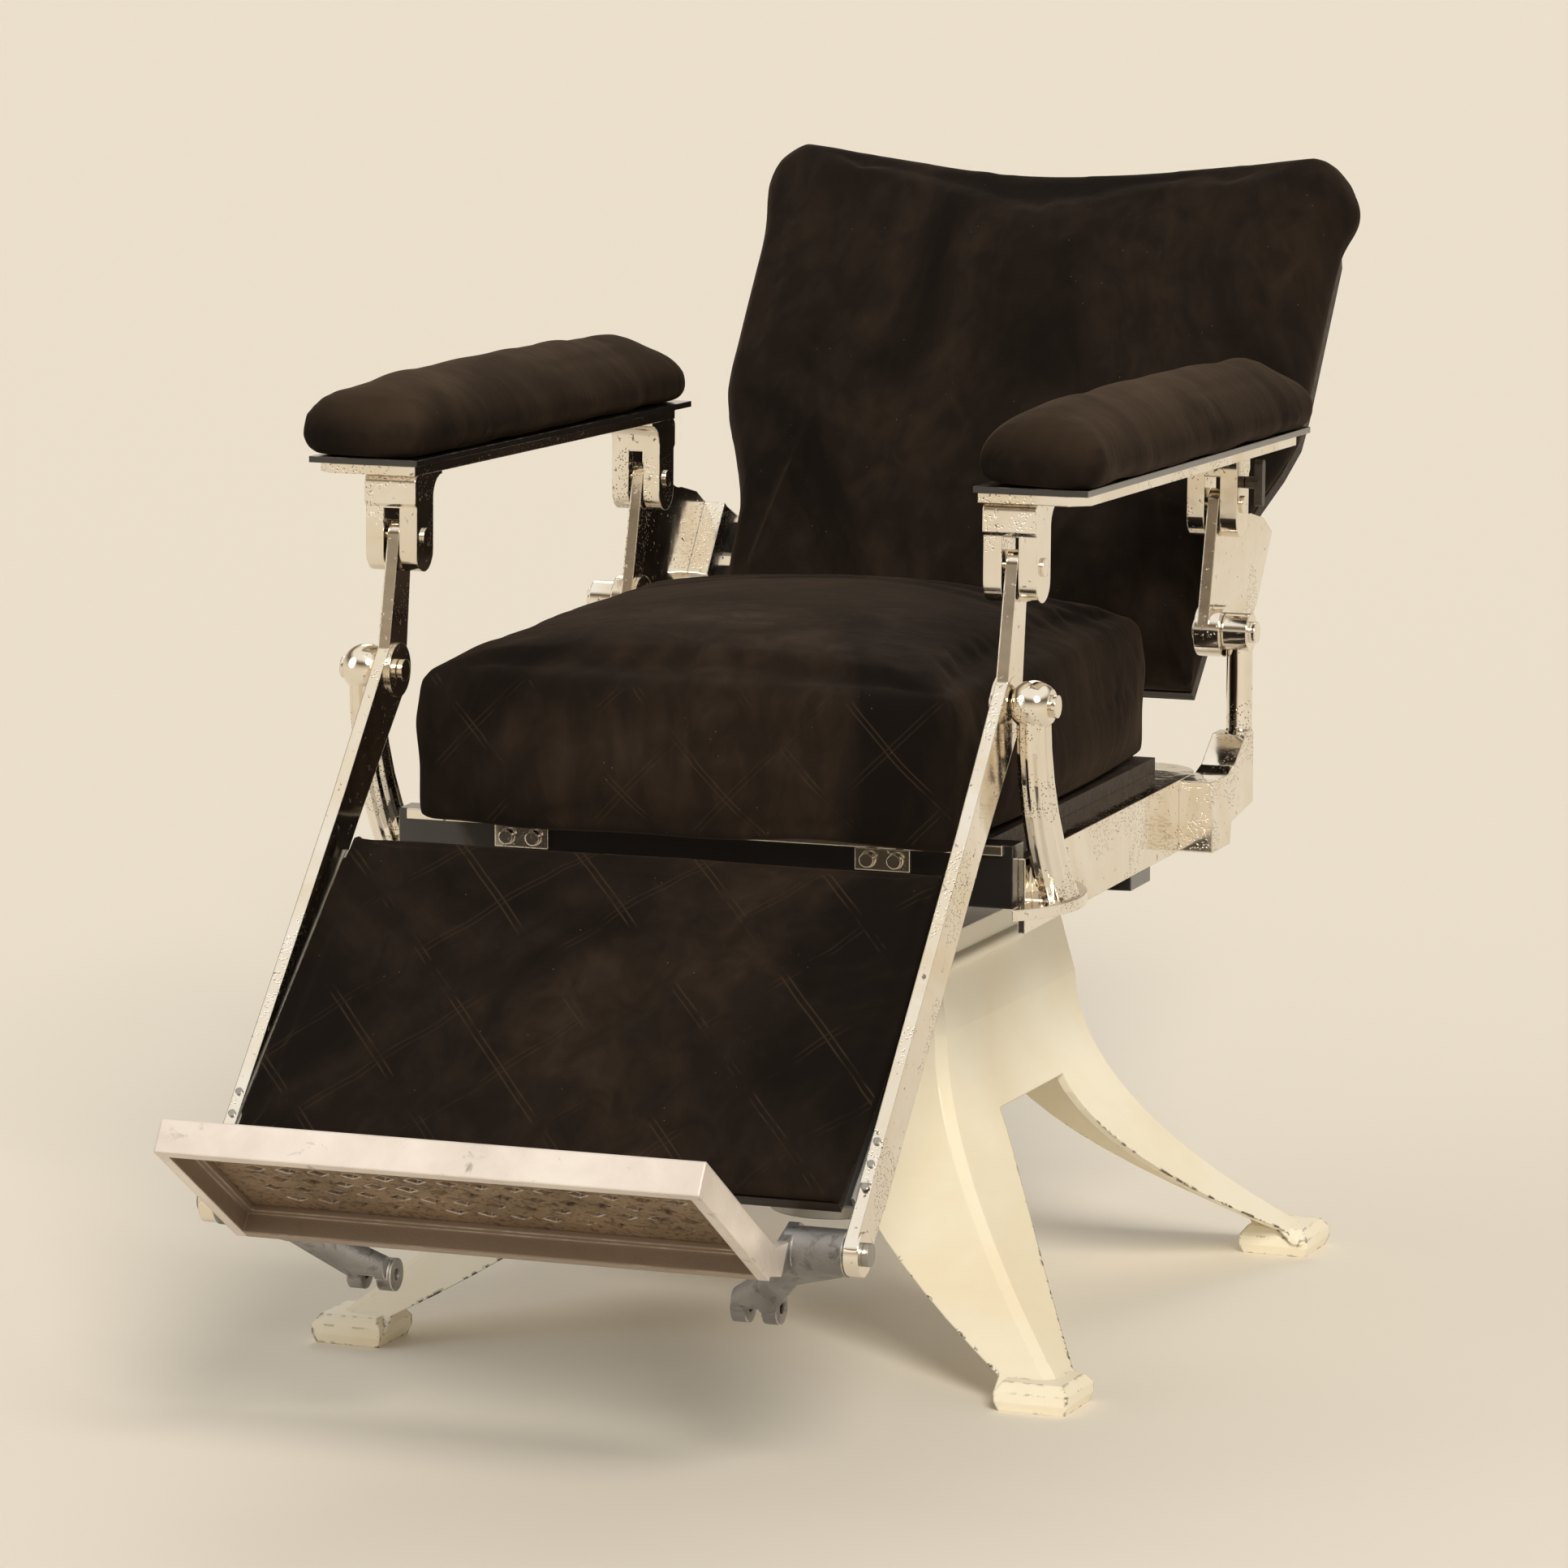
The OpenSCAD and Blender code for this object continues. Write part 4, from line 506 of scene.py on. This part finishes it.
# Paler brown of pressed lines and of worn pile, also painted on the arm pads' tops as a painted highlight.
pile_handled_and_highlight = (0.066, 0.042, 0.024, 1.0)
pile_lint = (0.26, 0.23, 0.19, 1.0)
pile_sheen = (0.34, 0.21, 0.12, 1.0)

# Pressed pairs: pairs of fine lines at equal steps along two ways, partly worn off
pair_group, pair_in, pair_out = new_group(
    "Pressed pairs",
    [("First", "Vector", (10.0, 10.0, 0.0)), ("Second", "Vector", (10.0, -10.0, 0.0)),
     ("Apart", "Float", 0.034), ("Width", "Float", 0.016), ("Worn", "Float", 0.46)],
    [("Mask", "Float")])
pair_coord = new_node(pair_group, "TexCoord")
pair_lines = []
for title, share in (("First", 1.0), ("Second", 0.45)):
    steps = new_vectors(pair_group, "DOT_PRODUCT", pair_coord.outputs["Object"], pair_in.outputs[title])
    off = new_math(pair_group, "PINGPONG", steps.outputs["Value"], 0.5, clamped=False)
    away = new_math(pair_group, "SUBTRACT", off, pair_in.outputs["Apart"], clamped=False)
    away = new_math(pair_group, "ABSOLUTE", away, clamped=False)
    widths = new_math(pair_group, "DIVIDE", away, pair_in.outputs["Width"], clamped=False)
    pair_lines.append(new_range(pair_group, widths, low=1.0, high=0.0, last=share))
pair_noise = new_node(pair_group, "TexNoise", Vector=pair_coord.outputs["Object"], Scale=14.0, Detail=3.0,
                      Roughness=0.6)
pair_whole = new_math(pair_group, "ADD", pair_in.outputs["Worn"], 0.10)
pair_left = new_range(pair_group, pair_noise.outputs["Fac"], pair_in.outputs["Worn"], pair_whole)
pair_any = new_math(pair_group, "MAXIMUM", *pair_lines)
fill_in(pair_group, pair_out, Mask=new_math(pair_group, "MULTIPLY", pair_any, pair_left))


def velvet(name, first=None, second=None, faces=(0.0, -1.0, 0.0), top_wear_and_highlight=0.0):
    """Velvet with pressed pairs of lines on the side that faces a way, its top faces painted paler brown,
    partly as wear from hands and partly as a painted highlight.
    """
    material, tree, shader = new_material(name)
    nap = place_group(tree, cloud_group, Scale=5.0, Stretch=(1.0, 1.0, 0.55), Low=0.40, High=0.72, Warp=0.9)
    strokes = place_group(tree, cloud_group, Scale=34.0, Stretch=(1.0, 1.0, 0.35), Low=0.40, High=0.75,
                          Warp=0.6)
    lint = place_group(tree, speck_group, Scale=150.0, Size=0.055, Patches=26.0, Amount=0.40)
    coord = new_node(tree, "TexCoord")
    brush = new_math(tree, "MULTIPLY", nap.outputs["Mask"],
                     new_range(tree, strokes.outputs["Mask"], first=0.35))
    pile = new_mix(tree, brush, pile_dark, pile_brushed)
    if top_wear_and_highlight:
        # Painted highlight: top faces get the paler brown, partly wear from hands and partly light catching
        # the pile.
        split = new_node(tree, "SeparateXYZ", Vector=coord.outputs["Normal"])
        upper = new_range(tree, split.outputs["Z"], low=0.1, high=0.9, last=top_wear_and_highlight)
        worn_and_lit_patches = new_range(tree, nap.outputs["Mask"], first=0.45)
        pile = new_mix(tree, new_math(tree, "MULTIPLY", upper, worn_and_lit_patches), pile, pile_handled_and_highlight)
    tips = new_node(tree, "TexNoise", Vector=coord.outputs["Object"], Scale=1500.0, Detail=2.0)
    surface = new_bump(tree, tips.outputs["Fac"], strength=0.30, distance=0.0005)
    surface = new_bump(tree, strokes.outputs["Mask"], surface, strength=0.25, distance=0.002)
    if first:
        turned = new_vectors(tree, "DOT_PRODUCT", coord.outputs["Normal"], faces)
        pairs = place_group(tree, pair_group, First=first, Second=second)
        seen = new_range(tree, turned.outputs["Value"], low=0.7, high=0.9)
        pressed = new_math(tree, "MULTIPLY", pairs.outputs["Mask"], seen)
        surface = new_bump(tree, pressed, surface, strength=0.55, distance=0.0012, sunk=True)
        pile = new_mix(tree, new_math(tree, "MULTIPLY", pressed, 0.5), pile, pile_handled_and_highlight)
    fill_in(tree, shader,
            Base_Color=new_mix(tree, new_math(tree, "MULTIPLY", lint.outputs["Mask"], 0.6), pile, pile_lint),
            Roughness=new_range(tree, brush, first=0.95, last=0.80),
            Normal=surface, Specular_IOR_Level=0.10,
            Sheen_Weight=0.16, Sheen_Roughness=0.34, Sheen_Tint=pile_sheen)
    return material


# Seat cushion: springs and hair under a loose velvet cover, high in the middle,
# with worn stitched diamonds down its front and folds pushed up at its rear.
cloth_frames = 20
pin_shares = (0.25, 0.5, 0.75, 1.0)
pin_reach = 0.125
corner_fill = 0.75
seat_low, seat_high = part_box("seat_cushion")
seat_floor = seat_low.z
seat_half = (seat_high.x - seat_low.x) / 2
strip_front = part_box("front_trim_strip")[0].y
seat_quilt = 0.088
nailed_height = 0.02
held_corner_half = 0.03
held_corner_share = 0.5
seat_dent = 0.0016
seat_dent_pitch = 0.075
fold_depth = 0.0035
fold_half = 0.009
fold_reach_share = 0.92
valley_share = 0.8
valley_half = 0.010
valley_ahead = 0.016
# each rear fold: distance ahead of the rear edge, bow at the sides and strength
rear_folds = ((0.052, 0.055, 1.0), (0.084, 0.085, 0.8), (0.125, 0.10, 0.5))
sag_depth = 0.0016
sag_line_half = 0.007
sag_across = 0.04
sag_half = 0.13
# each sag: height in the middle, bow at the sides and strength
front_sags = ((0.060, 0.030, 1.0), (0.078, 0.042, 0.6))
seam_depth = 0.0022
seam_half = 0.008
seam_in = 0.004
seam_behind = 0.010
hang_depth = 0.0065
hang_height = 0.035
hang_clear = 0.004
hang_blend = 0.015
lift_depth = 0.0045
lift_across = 0.11
lift_half = 0.07
ripple = 0.001
ripple_turns = 38


def coords_of(mesh, attribute="vertices"):
    """The places or normals of a mesh's vertices as rows."""
    values = np.zeros(len(mesh.vertices) * 3, np.float32)
    source = mesh.vertices if attribute == "vertices" else mesh.vertex_normals
    source.foreach_get("co" if attribute == "vertices" else "vector", values)
    return values.reshape(-1, 3).astype(float)


def set_coords(mesh, places):
    """Moves a mesh's vertices to rows of places."""
    mesh.vertices.foreach_set("co", places.astype(np.float32).ravel())
    mesh.update()


def applied(piece, name):
    """The piece with its modifiers made real, as a mesh of its own."""
    graph = bpy.context.evaluated_depsgraph_get()
    mesh = bpy.data.meshes.new_from_object(piece.evaluated_get(graph))
    mesh.name = name
    piece.modifiers.clear()
    piece.data = mesh
    return mesh


def soften(piece, name, rounds):
    """Rounds the piece's corners by rounds of smoothing."""
    smooth = piece.modifiers.new(name, "SMOOTH")
    smooth.factor = 0.5
    smooth.iterations = rounds


def swell(piece, name, start, outward, kept, cap, pressure):
    """Swells the piece from rows of start places under pressure, by up to cap. Its corners stay filled
    by corner_fill, and it is held by the shares in kept."""
    pins = piece.vertex_groups.new(name="held")
    for share in pin_shares:
        near = np.nonzero(np.abs(kept - share) <= pin_reach)[0]
        pins.add([int(i) for i in near], share, "REPLACE")
    cloth = piece.modifiers.new("cloth", "CLOTH")
    cloth.settings.quality = 5
    cloth.settings.mass = 0.35
    cloth.settings.tension_stiffness = 12.0
    cloth.settings.compression_stiffness = 12.0
    cloth.settings.bending_stiffness = 0.6
    cloth.settings.use_pressure = True
    cloth.settings.uniform_pressure_force = pressure
    cloth.settings.vertex_group_mass = "held"
    cloth.settings.effector_weights.gravity = 0.0
    cloth.collision_settings.use_collision = False
    for step in range(1, cloth_frames + 1):
        scene.frame_set(step)
    mesh = applied(piece, name)
    scene.frame_set(1)
    moved = coords_of(mesh) - start
    far = np.linalg.norm(moved, axis=1, keepdims=True)
    moved *= np.minimum(1.0, cap / np.maximum(far, 1e-9))
    inward = np.minimum(np.sum(moved * outward, axis=1, keepdims=True), 0.0)
    set_coords(mesh, start + moved - outward * inward * corner_fill)


def stuffed(node, name, cloth_look, voxel, rounding, inset, cap, pressure, held):
    """A padded piece in the form of a CAD solid. Its cover starts inset from the solid, swells under
    pressure by up to cap, and stays where held gives 1 for rows of places."""
    solid = bmesh.new()
    solid.from_mesh(nodes_of[node].data)
    bmesh.ops.remove_doubles(solid, verts=solid.verts[:], dist=1e-5)
    bmesh.ops.recalc_face_normals(solid, faces=solid.faces[:])
    mesh = bpy.data.meshes.new(name)
    solid.to_mesh(mesh)
    solid.free()
    piece = bpy.data.objects.new(name, mesh)
    scene.collection.objects.link(piece)
    remesh = piece.modifiers.new("remesh", "REMESH")
    remesh.mode = "VOXEL"
    remesh.voxel_size = voxel
    soften(piece, "soften", rounding)
    mesh = applied(piece, name)
    outward = coords_of(mesh, "normals")
    start = coords_of(mesh) - outward * inset
    kept = held(coords_of(mesh))
    set_coords(mesh, start)
    swell(piece, name, start, outward, kept, cap, pressure)
    soften(piece, "calm", rounding // 4)
    smooth = piece.modifiers.new("smooth", "SUBSURF")
    smooth.levels = 1
    smooth.render_levels = 1
    mesh = applied(piece, name)
    mesh.shade_smooth()
    mesh.materials.clear()
    mesh.materials.append(cloth_look)
    piece.vertex_groups.clear()
    return piece


def press(piece, depth):
    """Moves each vertex along its normal by depth(places, normals), in metres."""
    places = coords_of(piece.data)
    normals = coords_of(piece.data, "normals")
    set_coords(piece.data, places + normals * depth(places, normals)[:, None])


def ridge(away, width):
    """A soft ridge: one where away is nothing, and none past about twice the width."""
    return np.exp(-(away / width) ** 2)


def uneven(places, pitch):
    """A slow uneven share from 0 to 1, for the dents of a loose cover."""
    x, y, z = places.T / pitch
    wave = np.sin(x * 2.1 + 1.3 * np.sin(y * 1.7 + z)) + np.sin(y * 2.6 + z * 2.3 + 1.1 * np.sin(x * 1.9))
    return np.clip(0.5 + 0.4 * wave, 0.0, 1.0)


def facing(normals, way, gain=1.4, less=0.2):
    """A share from 0 to 1 of how well normals face a way: the cosine times gain, less a little."""
    return np.clip((normals @ np.array(way)) * gain - less, 0.0, 1.0)


def seat_held(places):
    """The cover is nailed along its foot and half held at its front corners."""
    x, y, z = places.T
    nailed = np.clip(1.0 - (z - seat_floor) / nailed_height, 0.0, 1.0)
    corner = ridge(np.hypot(np.abs(x) - seat_half, y - seat_low.y), held_corner_half)
    return np.maximum(nailed, held_corner_share * corner)


def seat_dressing(places, normals):
    """Dents, folds pushed up at the rear, sags across the front and a seam up each front corner."""
    x, y, z = places.T
    to_front = facing(normals, (0.0, -1.0, 0.0))
    on_top = facing(normals, (0.0, 0.0, 1.0), gain=1.5, less=0.3)
    inside = np.clip(1 - np.abs(x) / (seat_half * fold_reach_share), 0.0, 1.0) ** 0.5
    depth = seat_dent * (uneven(places, seat_dent_pitch) - 0.5) * (to_front + on_top)
    for ahead, bow, strength in rear_folds:
        curve = seat_high.y - ahead - bow * (x / seat_half) ** 2
        here = fold_depth * strength * on_top * inside
        depth += here * ridge(y - curve, fold_half)
        depth -= here * valley_share * ridge(y - curve + valley_ahead, valley_half)
    for height, bow, strength in front_sags:
        curve = seat_floor + height - bow * ((x - sag_across) / sag_half) ** 2
        here = sag_depth * strength * to_front * ridge(x - sag_across, sag_half)
        depth += here * ridge(z - curve, sag_line_half)
    corner = ridge(np.hypot(np.abs(x) - seat_half + seam_in, y - seat_low.y - seam_behind), seam_half)
    upright = np.clip(1 - np.abs(normals[:, 2]) * 2, 0.0, 1.0)
    return depth + seam_depth * corner * upright


def seat_droop(places):
    """The cover's foot hangs over the strip at the front in ripples, less so right of the middle."""
    x, y, z = places.T
    ahead = np.clip((strip_front - hang_clear - y) / hang_blend, 0.0, 1.0)
    foot = np.clip(1 - (z - seat_floor) / hang_height, 0.0, 1.0) ** 1.5
    hang = hang_depth - lift_depth * ridge(x - lift_across, lift_half) + ripple * np.sin(x * ripple_turns)
    places[:, 2] -= hang * ahead * foot
    return places


seat_velvet = velvet("seat_velvet", *[(1 / seat_quilt, 0.0, way / seat_quilt) for way in (1, -1)])
seat = stuffed("seat_cushion", "seat_cover", seat_velvet, voxel=0.006, rounding=3, inset=0.003, cap=0.010,
               pressure=3.0, held=seat_held)
press(seat, seat_dressing)
set_coords(seat.data, seat_droop(coords_of(seat.data)))
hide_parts("seat_cushion")
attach(seat, "seat_frame")

# Back cushion: a shaped pad on a board, its cover pulled in at the waist, with a
# tall soft fold left of the middle, a hem across its foot and a dog ear on top.
back_lean = math.radians(37.6)
rear_pivot = pivot_of["recline"]
back_foot_behind = 0.048
back_foot_below = 0.037
back_foot = Vector((0.0, rear_pivot[1] + back_foot_behind, rear_pivot[2] - back_foot_below))
back_thick = 0.072
back_held_depth = 0.02
back_held_blend = 0.018
tall_fold_across = -0.055
tall_fold_up = 0.30
tall_fold_length = 0.16
tall_fold_rise = 0.0055
tall_fold_valley = 0.0045
tall_fold_half = 0.009
tall_valley_across = 0.016
sway = 0.03
sway_start = 0.12
sway_turns = 9.0
small_fold_rise = 0.0038
small_fold_valley = 0.0030
small_fold_half = 0.006
small_valley_half = 0.007
small_valley_across = 0.012
# each small fold: across, sideways lean, half length and height of its middle
small_folds = ((-0.10, 0.25, 0.05, 0.09), (-0.03, -0.3, 0.045, 0.07), (0.09, 0.35, 0.05, 0.10),
               (0.16, -0.2, 0.06, 0.12), (-0.17, 0.2, 0.07, 0.15), (0.05, 0.15, 0.05, 0.06))
back_dent = 0.0020
back_dent_pitch = 0.08
hem_up = 0.153
hem_half = 0.008
hem_rise = 0.0030
hem_fade = 12
# each bulge of spare cloth: across, up, size, sideways reach and rise
spare_cloth = ((-0.262, 0.500, 0.048, -0.014, 0.013), (0.255, 0.508, 0.040, 0.010, 0.012),
               (0.272, 0.482, 0.020, 0.010, 0.0))


def in_panel(places, foot, lean):
    """Places as across, out of the rear and up the slope of a panel that leans back from its foot."""
    up_way, out_way = leaning(lean)
    off = places - np.array(foot)
    return off[:, 0], off @ np.array(out_way), off @ np.array(up_way)


def back_held(places):
    """The cover is fixed along the rear of the pad."""
    out = in_panel(places, back_foot, back_lean)[1]
    return np.clip((out - back_thick + back_held_depth) / back_held_blend, 0.0, 1.0)


def back_dressing(places, normals):
    """The tall fold, the small folds above the foot, the dents and the hem."""
    across, out, up = in_panel(places, back_foot, back_lean)
    away = across - tall_fold_across - sway * np.sin((up - sway_start) * sway_turns)
    here = ridge(up - tall_fold_up, tall_fold_length)
    depth = tall_fold_rise * ridge(away, tall_fold_half) * here
    depth -= tall_fold_valley * ridge(away - tall_valley_across, tall_fold_half) * here
    for start, lean_by, length, low in small_folds:
        away = across - start - lean_by * (up - low)
        here = ridge(up - low, length)
        depth += small_fold_rise * ridge(away, small_fold_half) * here
        depth -= small_fold_valley * ridge(away - small_valley_across, small_valley_half) * here
    depth += back_dent * (uneven(places, back_dent_pitch) - 0.5)
    depth += hem_rise * ridge(up - hem_up, hem_half) * np.clip(across * hem_fade + 1.0, 0.0, 1.0)
    return depth * facing(normals, -leaning(back_lean)[1])


def back_corners(places):
    """The spare cloth at the two top corners, and the dog ear that it makes at the right one."""
    across, out, up = in_panel(places, back_foot, back_lean)
    for corner_across, corner_up, size, reach, rise in spare_cloth:
        near = ridge(np.hypot(across - corner_across, up - corner_up), size)
        pull = np.array((reach, 0.0, 0.0)) + np.array(leaning(back_lean)[0]) * rise
        places = places + near[:, None] * pull
    return places


back_velvet = velvet("back_velvet")
back = stuffed("back_cushion", "back_cover", back_velvet, voxel=0.006, rounding=2, inset=0.002, cap=0.008,
               pressure=3.0, held=back_held)
press(back, back_dressing)
set_coords(back.data, back_corners(coords_of(back.data)))
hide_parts("back_cushion")
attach(back, "back")

# Arm pads: long bean-shaped pads that rise to a hump for the elbow, each on a
# thin black board that shows as a line above the plated arm.
front_pivot = pivot_of["legrest_swing"]
arm_slope = math.atan2(front_pivot[2] - rear_pivot[2], rear_pivot[1] - front_pivot[1])
arm_up = np.array((0.0, math.sin(arm_slope), math.cos(arm_slope)))
tacked_height = 0.012
arm_fullness = 0.0085
fullness_above = 0.016
fullness_bend = 0.7
front_share = 1.15
front_fall = 1.6
inner_loss = 0.9
tip_share = 1.2
tip_loss = 0.8
arm_dent = 0.0016
arm_dent_pitch = 0.045
arm_corner_half = 0.040
inner_corner_in = 0.009
outer_corner_out = 0.004
crease_depth = 0.0010
crease_half = 0.012
crease_middle = 0.03
# each crease: share of the pad's length, lean and strength
arm_creases = ((0.24, -0.15, 0.6), (0.53, 0.25, 0.8), (0.80, -0.2, 1.0))
# The arm pads' tops are painted paler brown, partly wear from hands and partly a painted highlight.
arm_velvet = velvet("arm_velvet", top_wear_and_highlight=0.75)

for side in ("left", "right"):
    pad_low, pad_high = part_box("arm_pad_" + side)
    pad_length = pad_high.y - pad_low.y
    inner, outer = (pad_low.x, pad_high.x) if pad_low.x > 0 else (pad_high.x, pad_low.x)
    pad_floor = float((coords_of(nodes_of["arm_pad_" + side].data) @ arm_up).min())

    def arm_held(places):
        """The cover is tacked along the edge of the board."""
        return np.clip(1.0 - (places @ arm_up - pad_floor) / tacked_height, 0.0, 1.0)

    def arm_dressing(places, normals):
        """A fuller front, its inner corner drawn in and its outer one out, with dents and creases."""
        x, y, z = places.T
        ahead = np.clip(front_share - (y - pad_low.y) / pad_length * front_fall, 0.0, 1.0)
        above = np.clip((places @ arm_up - pad_floor) / fullness_above, 0.0, 1.0)
        towards_seat = np.clip(-normals[:, 0] * np.sign(pad_low.x), -1.0, 0.0)
        tip = np.clip(tip_share + normals[:, 1] * tip_loss, 0.0, 1.0)
        fuller = ahead ** fullness_bend * above * (1 + inner_loss * towards_seat) * tip
        depth = arm_dent * (uneven(places, arm_dent_pitch) - 0.5) + arm_fullness * fuller
        depth -= inner_corner_in * ridge(np.hypot(x - inner, y - pad_low.y), arm_corner_half) * above
        depth += outer_corner_out * ridge(np.hypot(x - outer, y - pad_low.y), arm_corner_half) * above
        on_side = np.clip(np.abs(normals[:, 0]) * 1.3, 0.0, 1.0)
        for share, lean_by, strength in arm_creases:
            line = pad_low.y + pad_length * share + lean_by * (z - pad_low.z - crease_middle)
            depth -= crease_depth * strength * ridge(y - line, crease_half) * on_side
        return depth

    pad = stuffed("arm_pad_" + side, "arm_cover_" + side, arm_velvet, voxel=0.0045, rounding=16,
                  inset=0.0005, cap=0.0030, pressure=4.0, held=arm_held)
    press(pad, arm_dressing)
    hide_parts("arm_pad_" + side)
    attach(pad, "armrest_" + side)

# Legrest pad: a thin quilted panel, its stitched diamonds nearly rubbed flat,
# turned over a board at its edges.
lever_degrees = 43.6
pad_extra_degrees = 6.6
leg_lean = math.radians(lever_degrees + pad_extra_degrees)
leg_start = 0.152
leg_top = Vector(front_pivot) - leaning(math.radians(lever_degrees))[0] * leg_start
leg_thick = 0.016
leg_held_depth = 0.006
leg_held_blend = 0.004
leg_overhang = 0.0042
leg_dent = 0.0018
leg_dent_pitch = 0.07
leg_pitch_across = 0.1008
leg_pitch_up = 0.1093
up_the_leg, out_of_leg = leaning(leg_lean)


def leg_held(places):
    """The cover is fixed to the board behind it."""
    out = in_panel(places, leg_top, leg_lean)[1]
    return np.clip((out - leg_thick + leg_held_depth) / leg_held_blend, 0.0, 1.0)


def leg_dressing(places, normals):
    """Dents on the face, and cloth turned over the board's edges."""
    on_face = facing(normals, -out_of_leg, gain=1.5, less=0.3)
    depth = leg_dent * (uneven(places, leg_dent_pitch) - 0.5) * on_face
    return depth + leg_overhang * np.clip(np.abs(normals[:, 0]) * 1.6 - 0.3, 0.0, 1.0)


leg_pairs = [(1 / leg_pitch_across, way * up_the_leg.y / leg_pitch_up, way * up_the_leg.z / leg_pitch_up)
             for way in (1, -1)]
leg_velvet = velvet("leg_velvet", *leg_pairs, faces=tuple(-out_of_leg))
legs = stuffed("legrest_pad", "legrest_cover", leg_velvet, voxel=0.005, rounding=1, inset=0.0015, cap=0.0035,
               pressure=3.0, held=leg_held)
press(legs, leg_dressing)
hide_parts("legrest_pad")
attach(legs, "legrest")
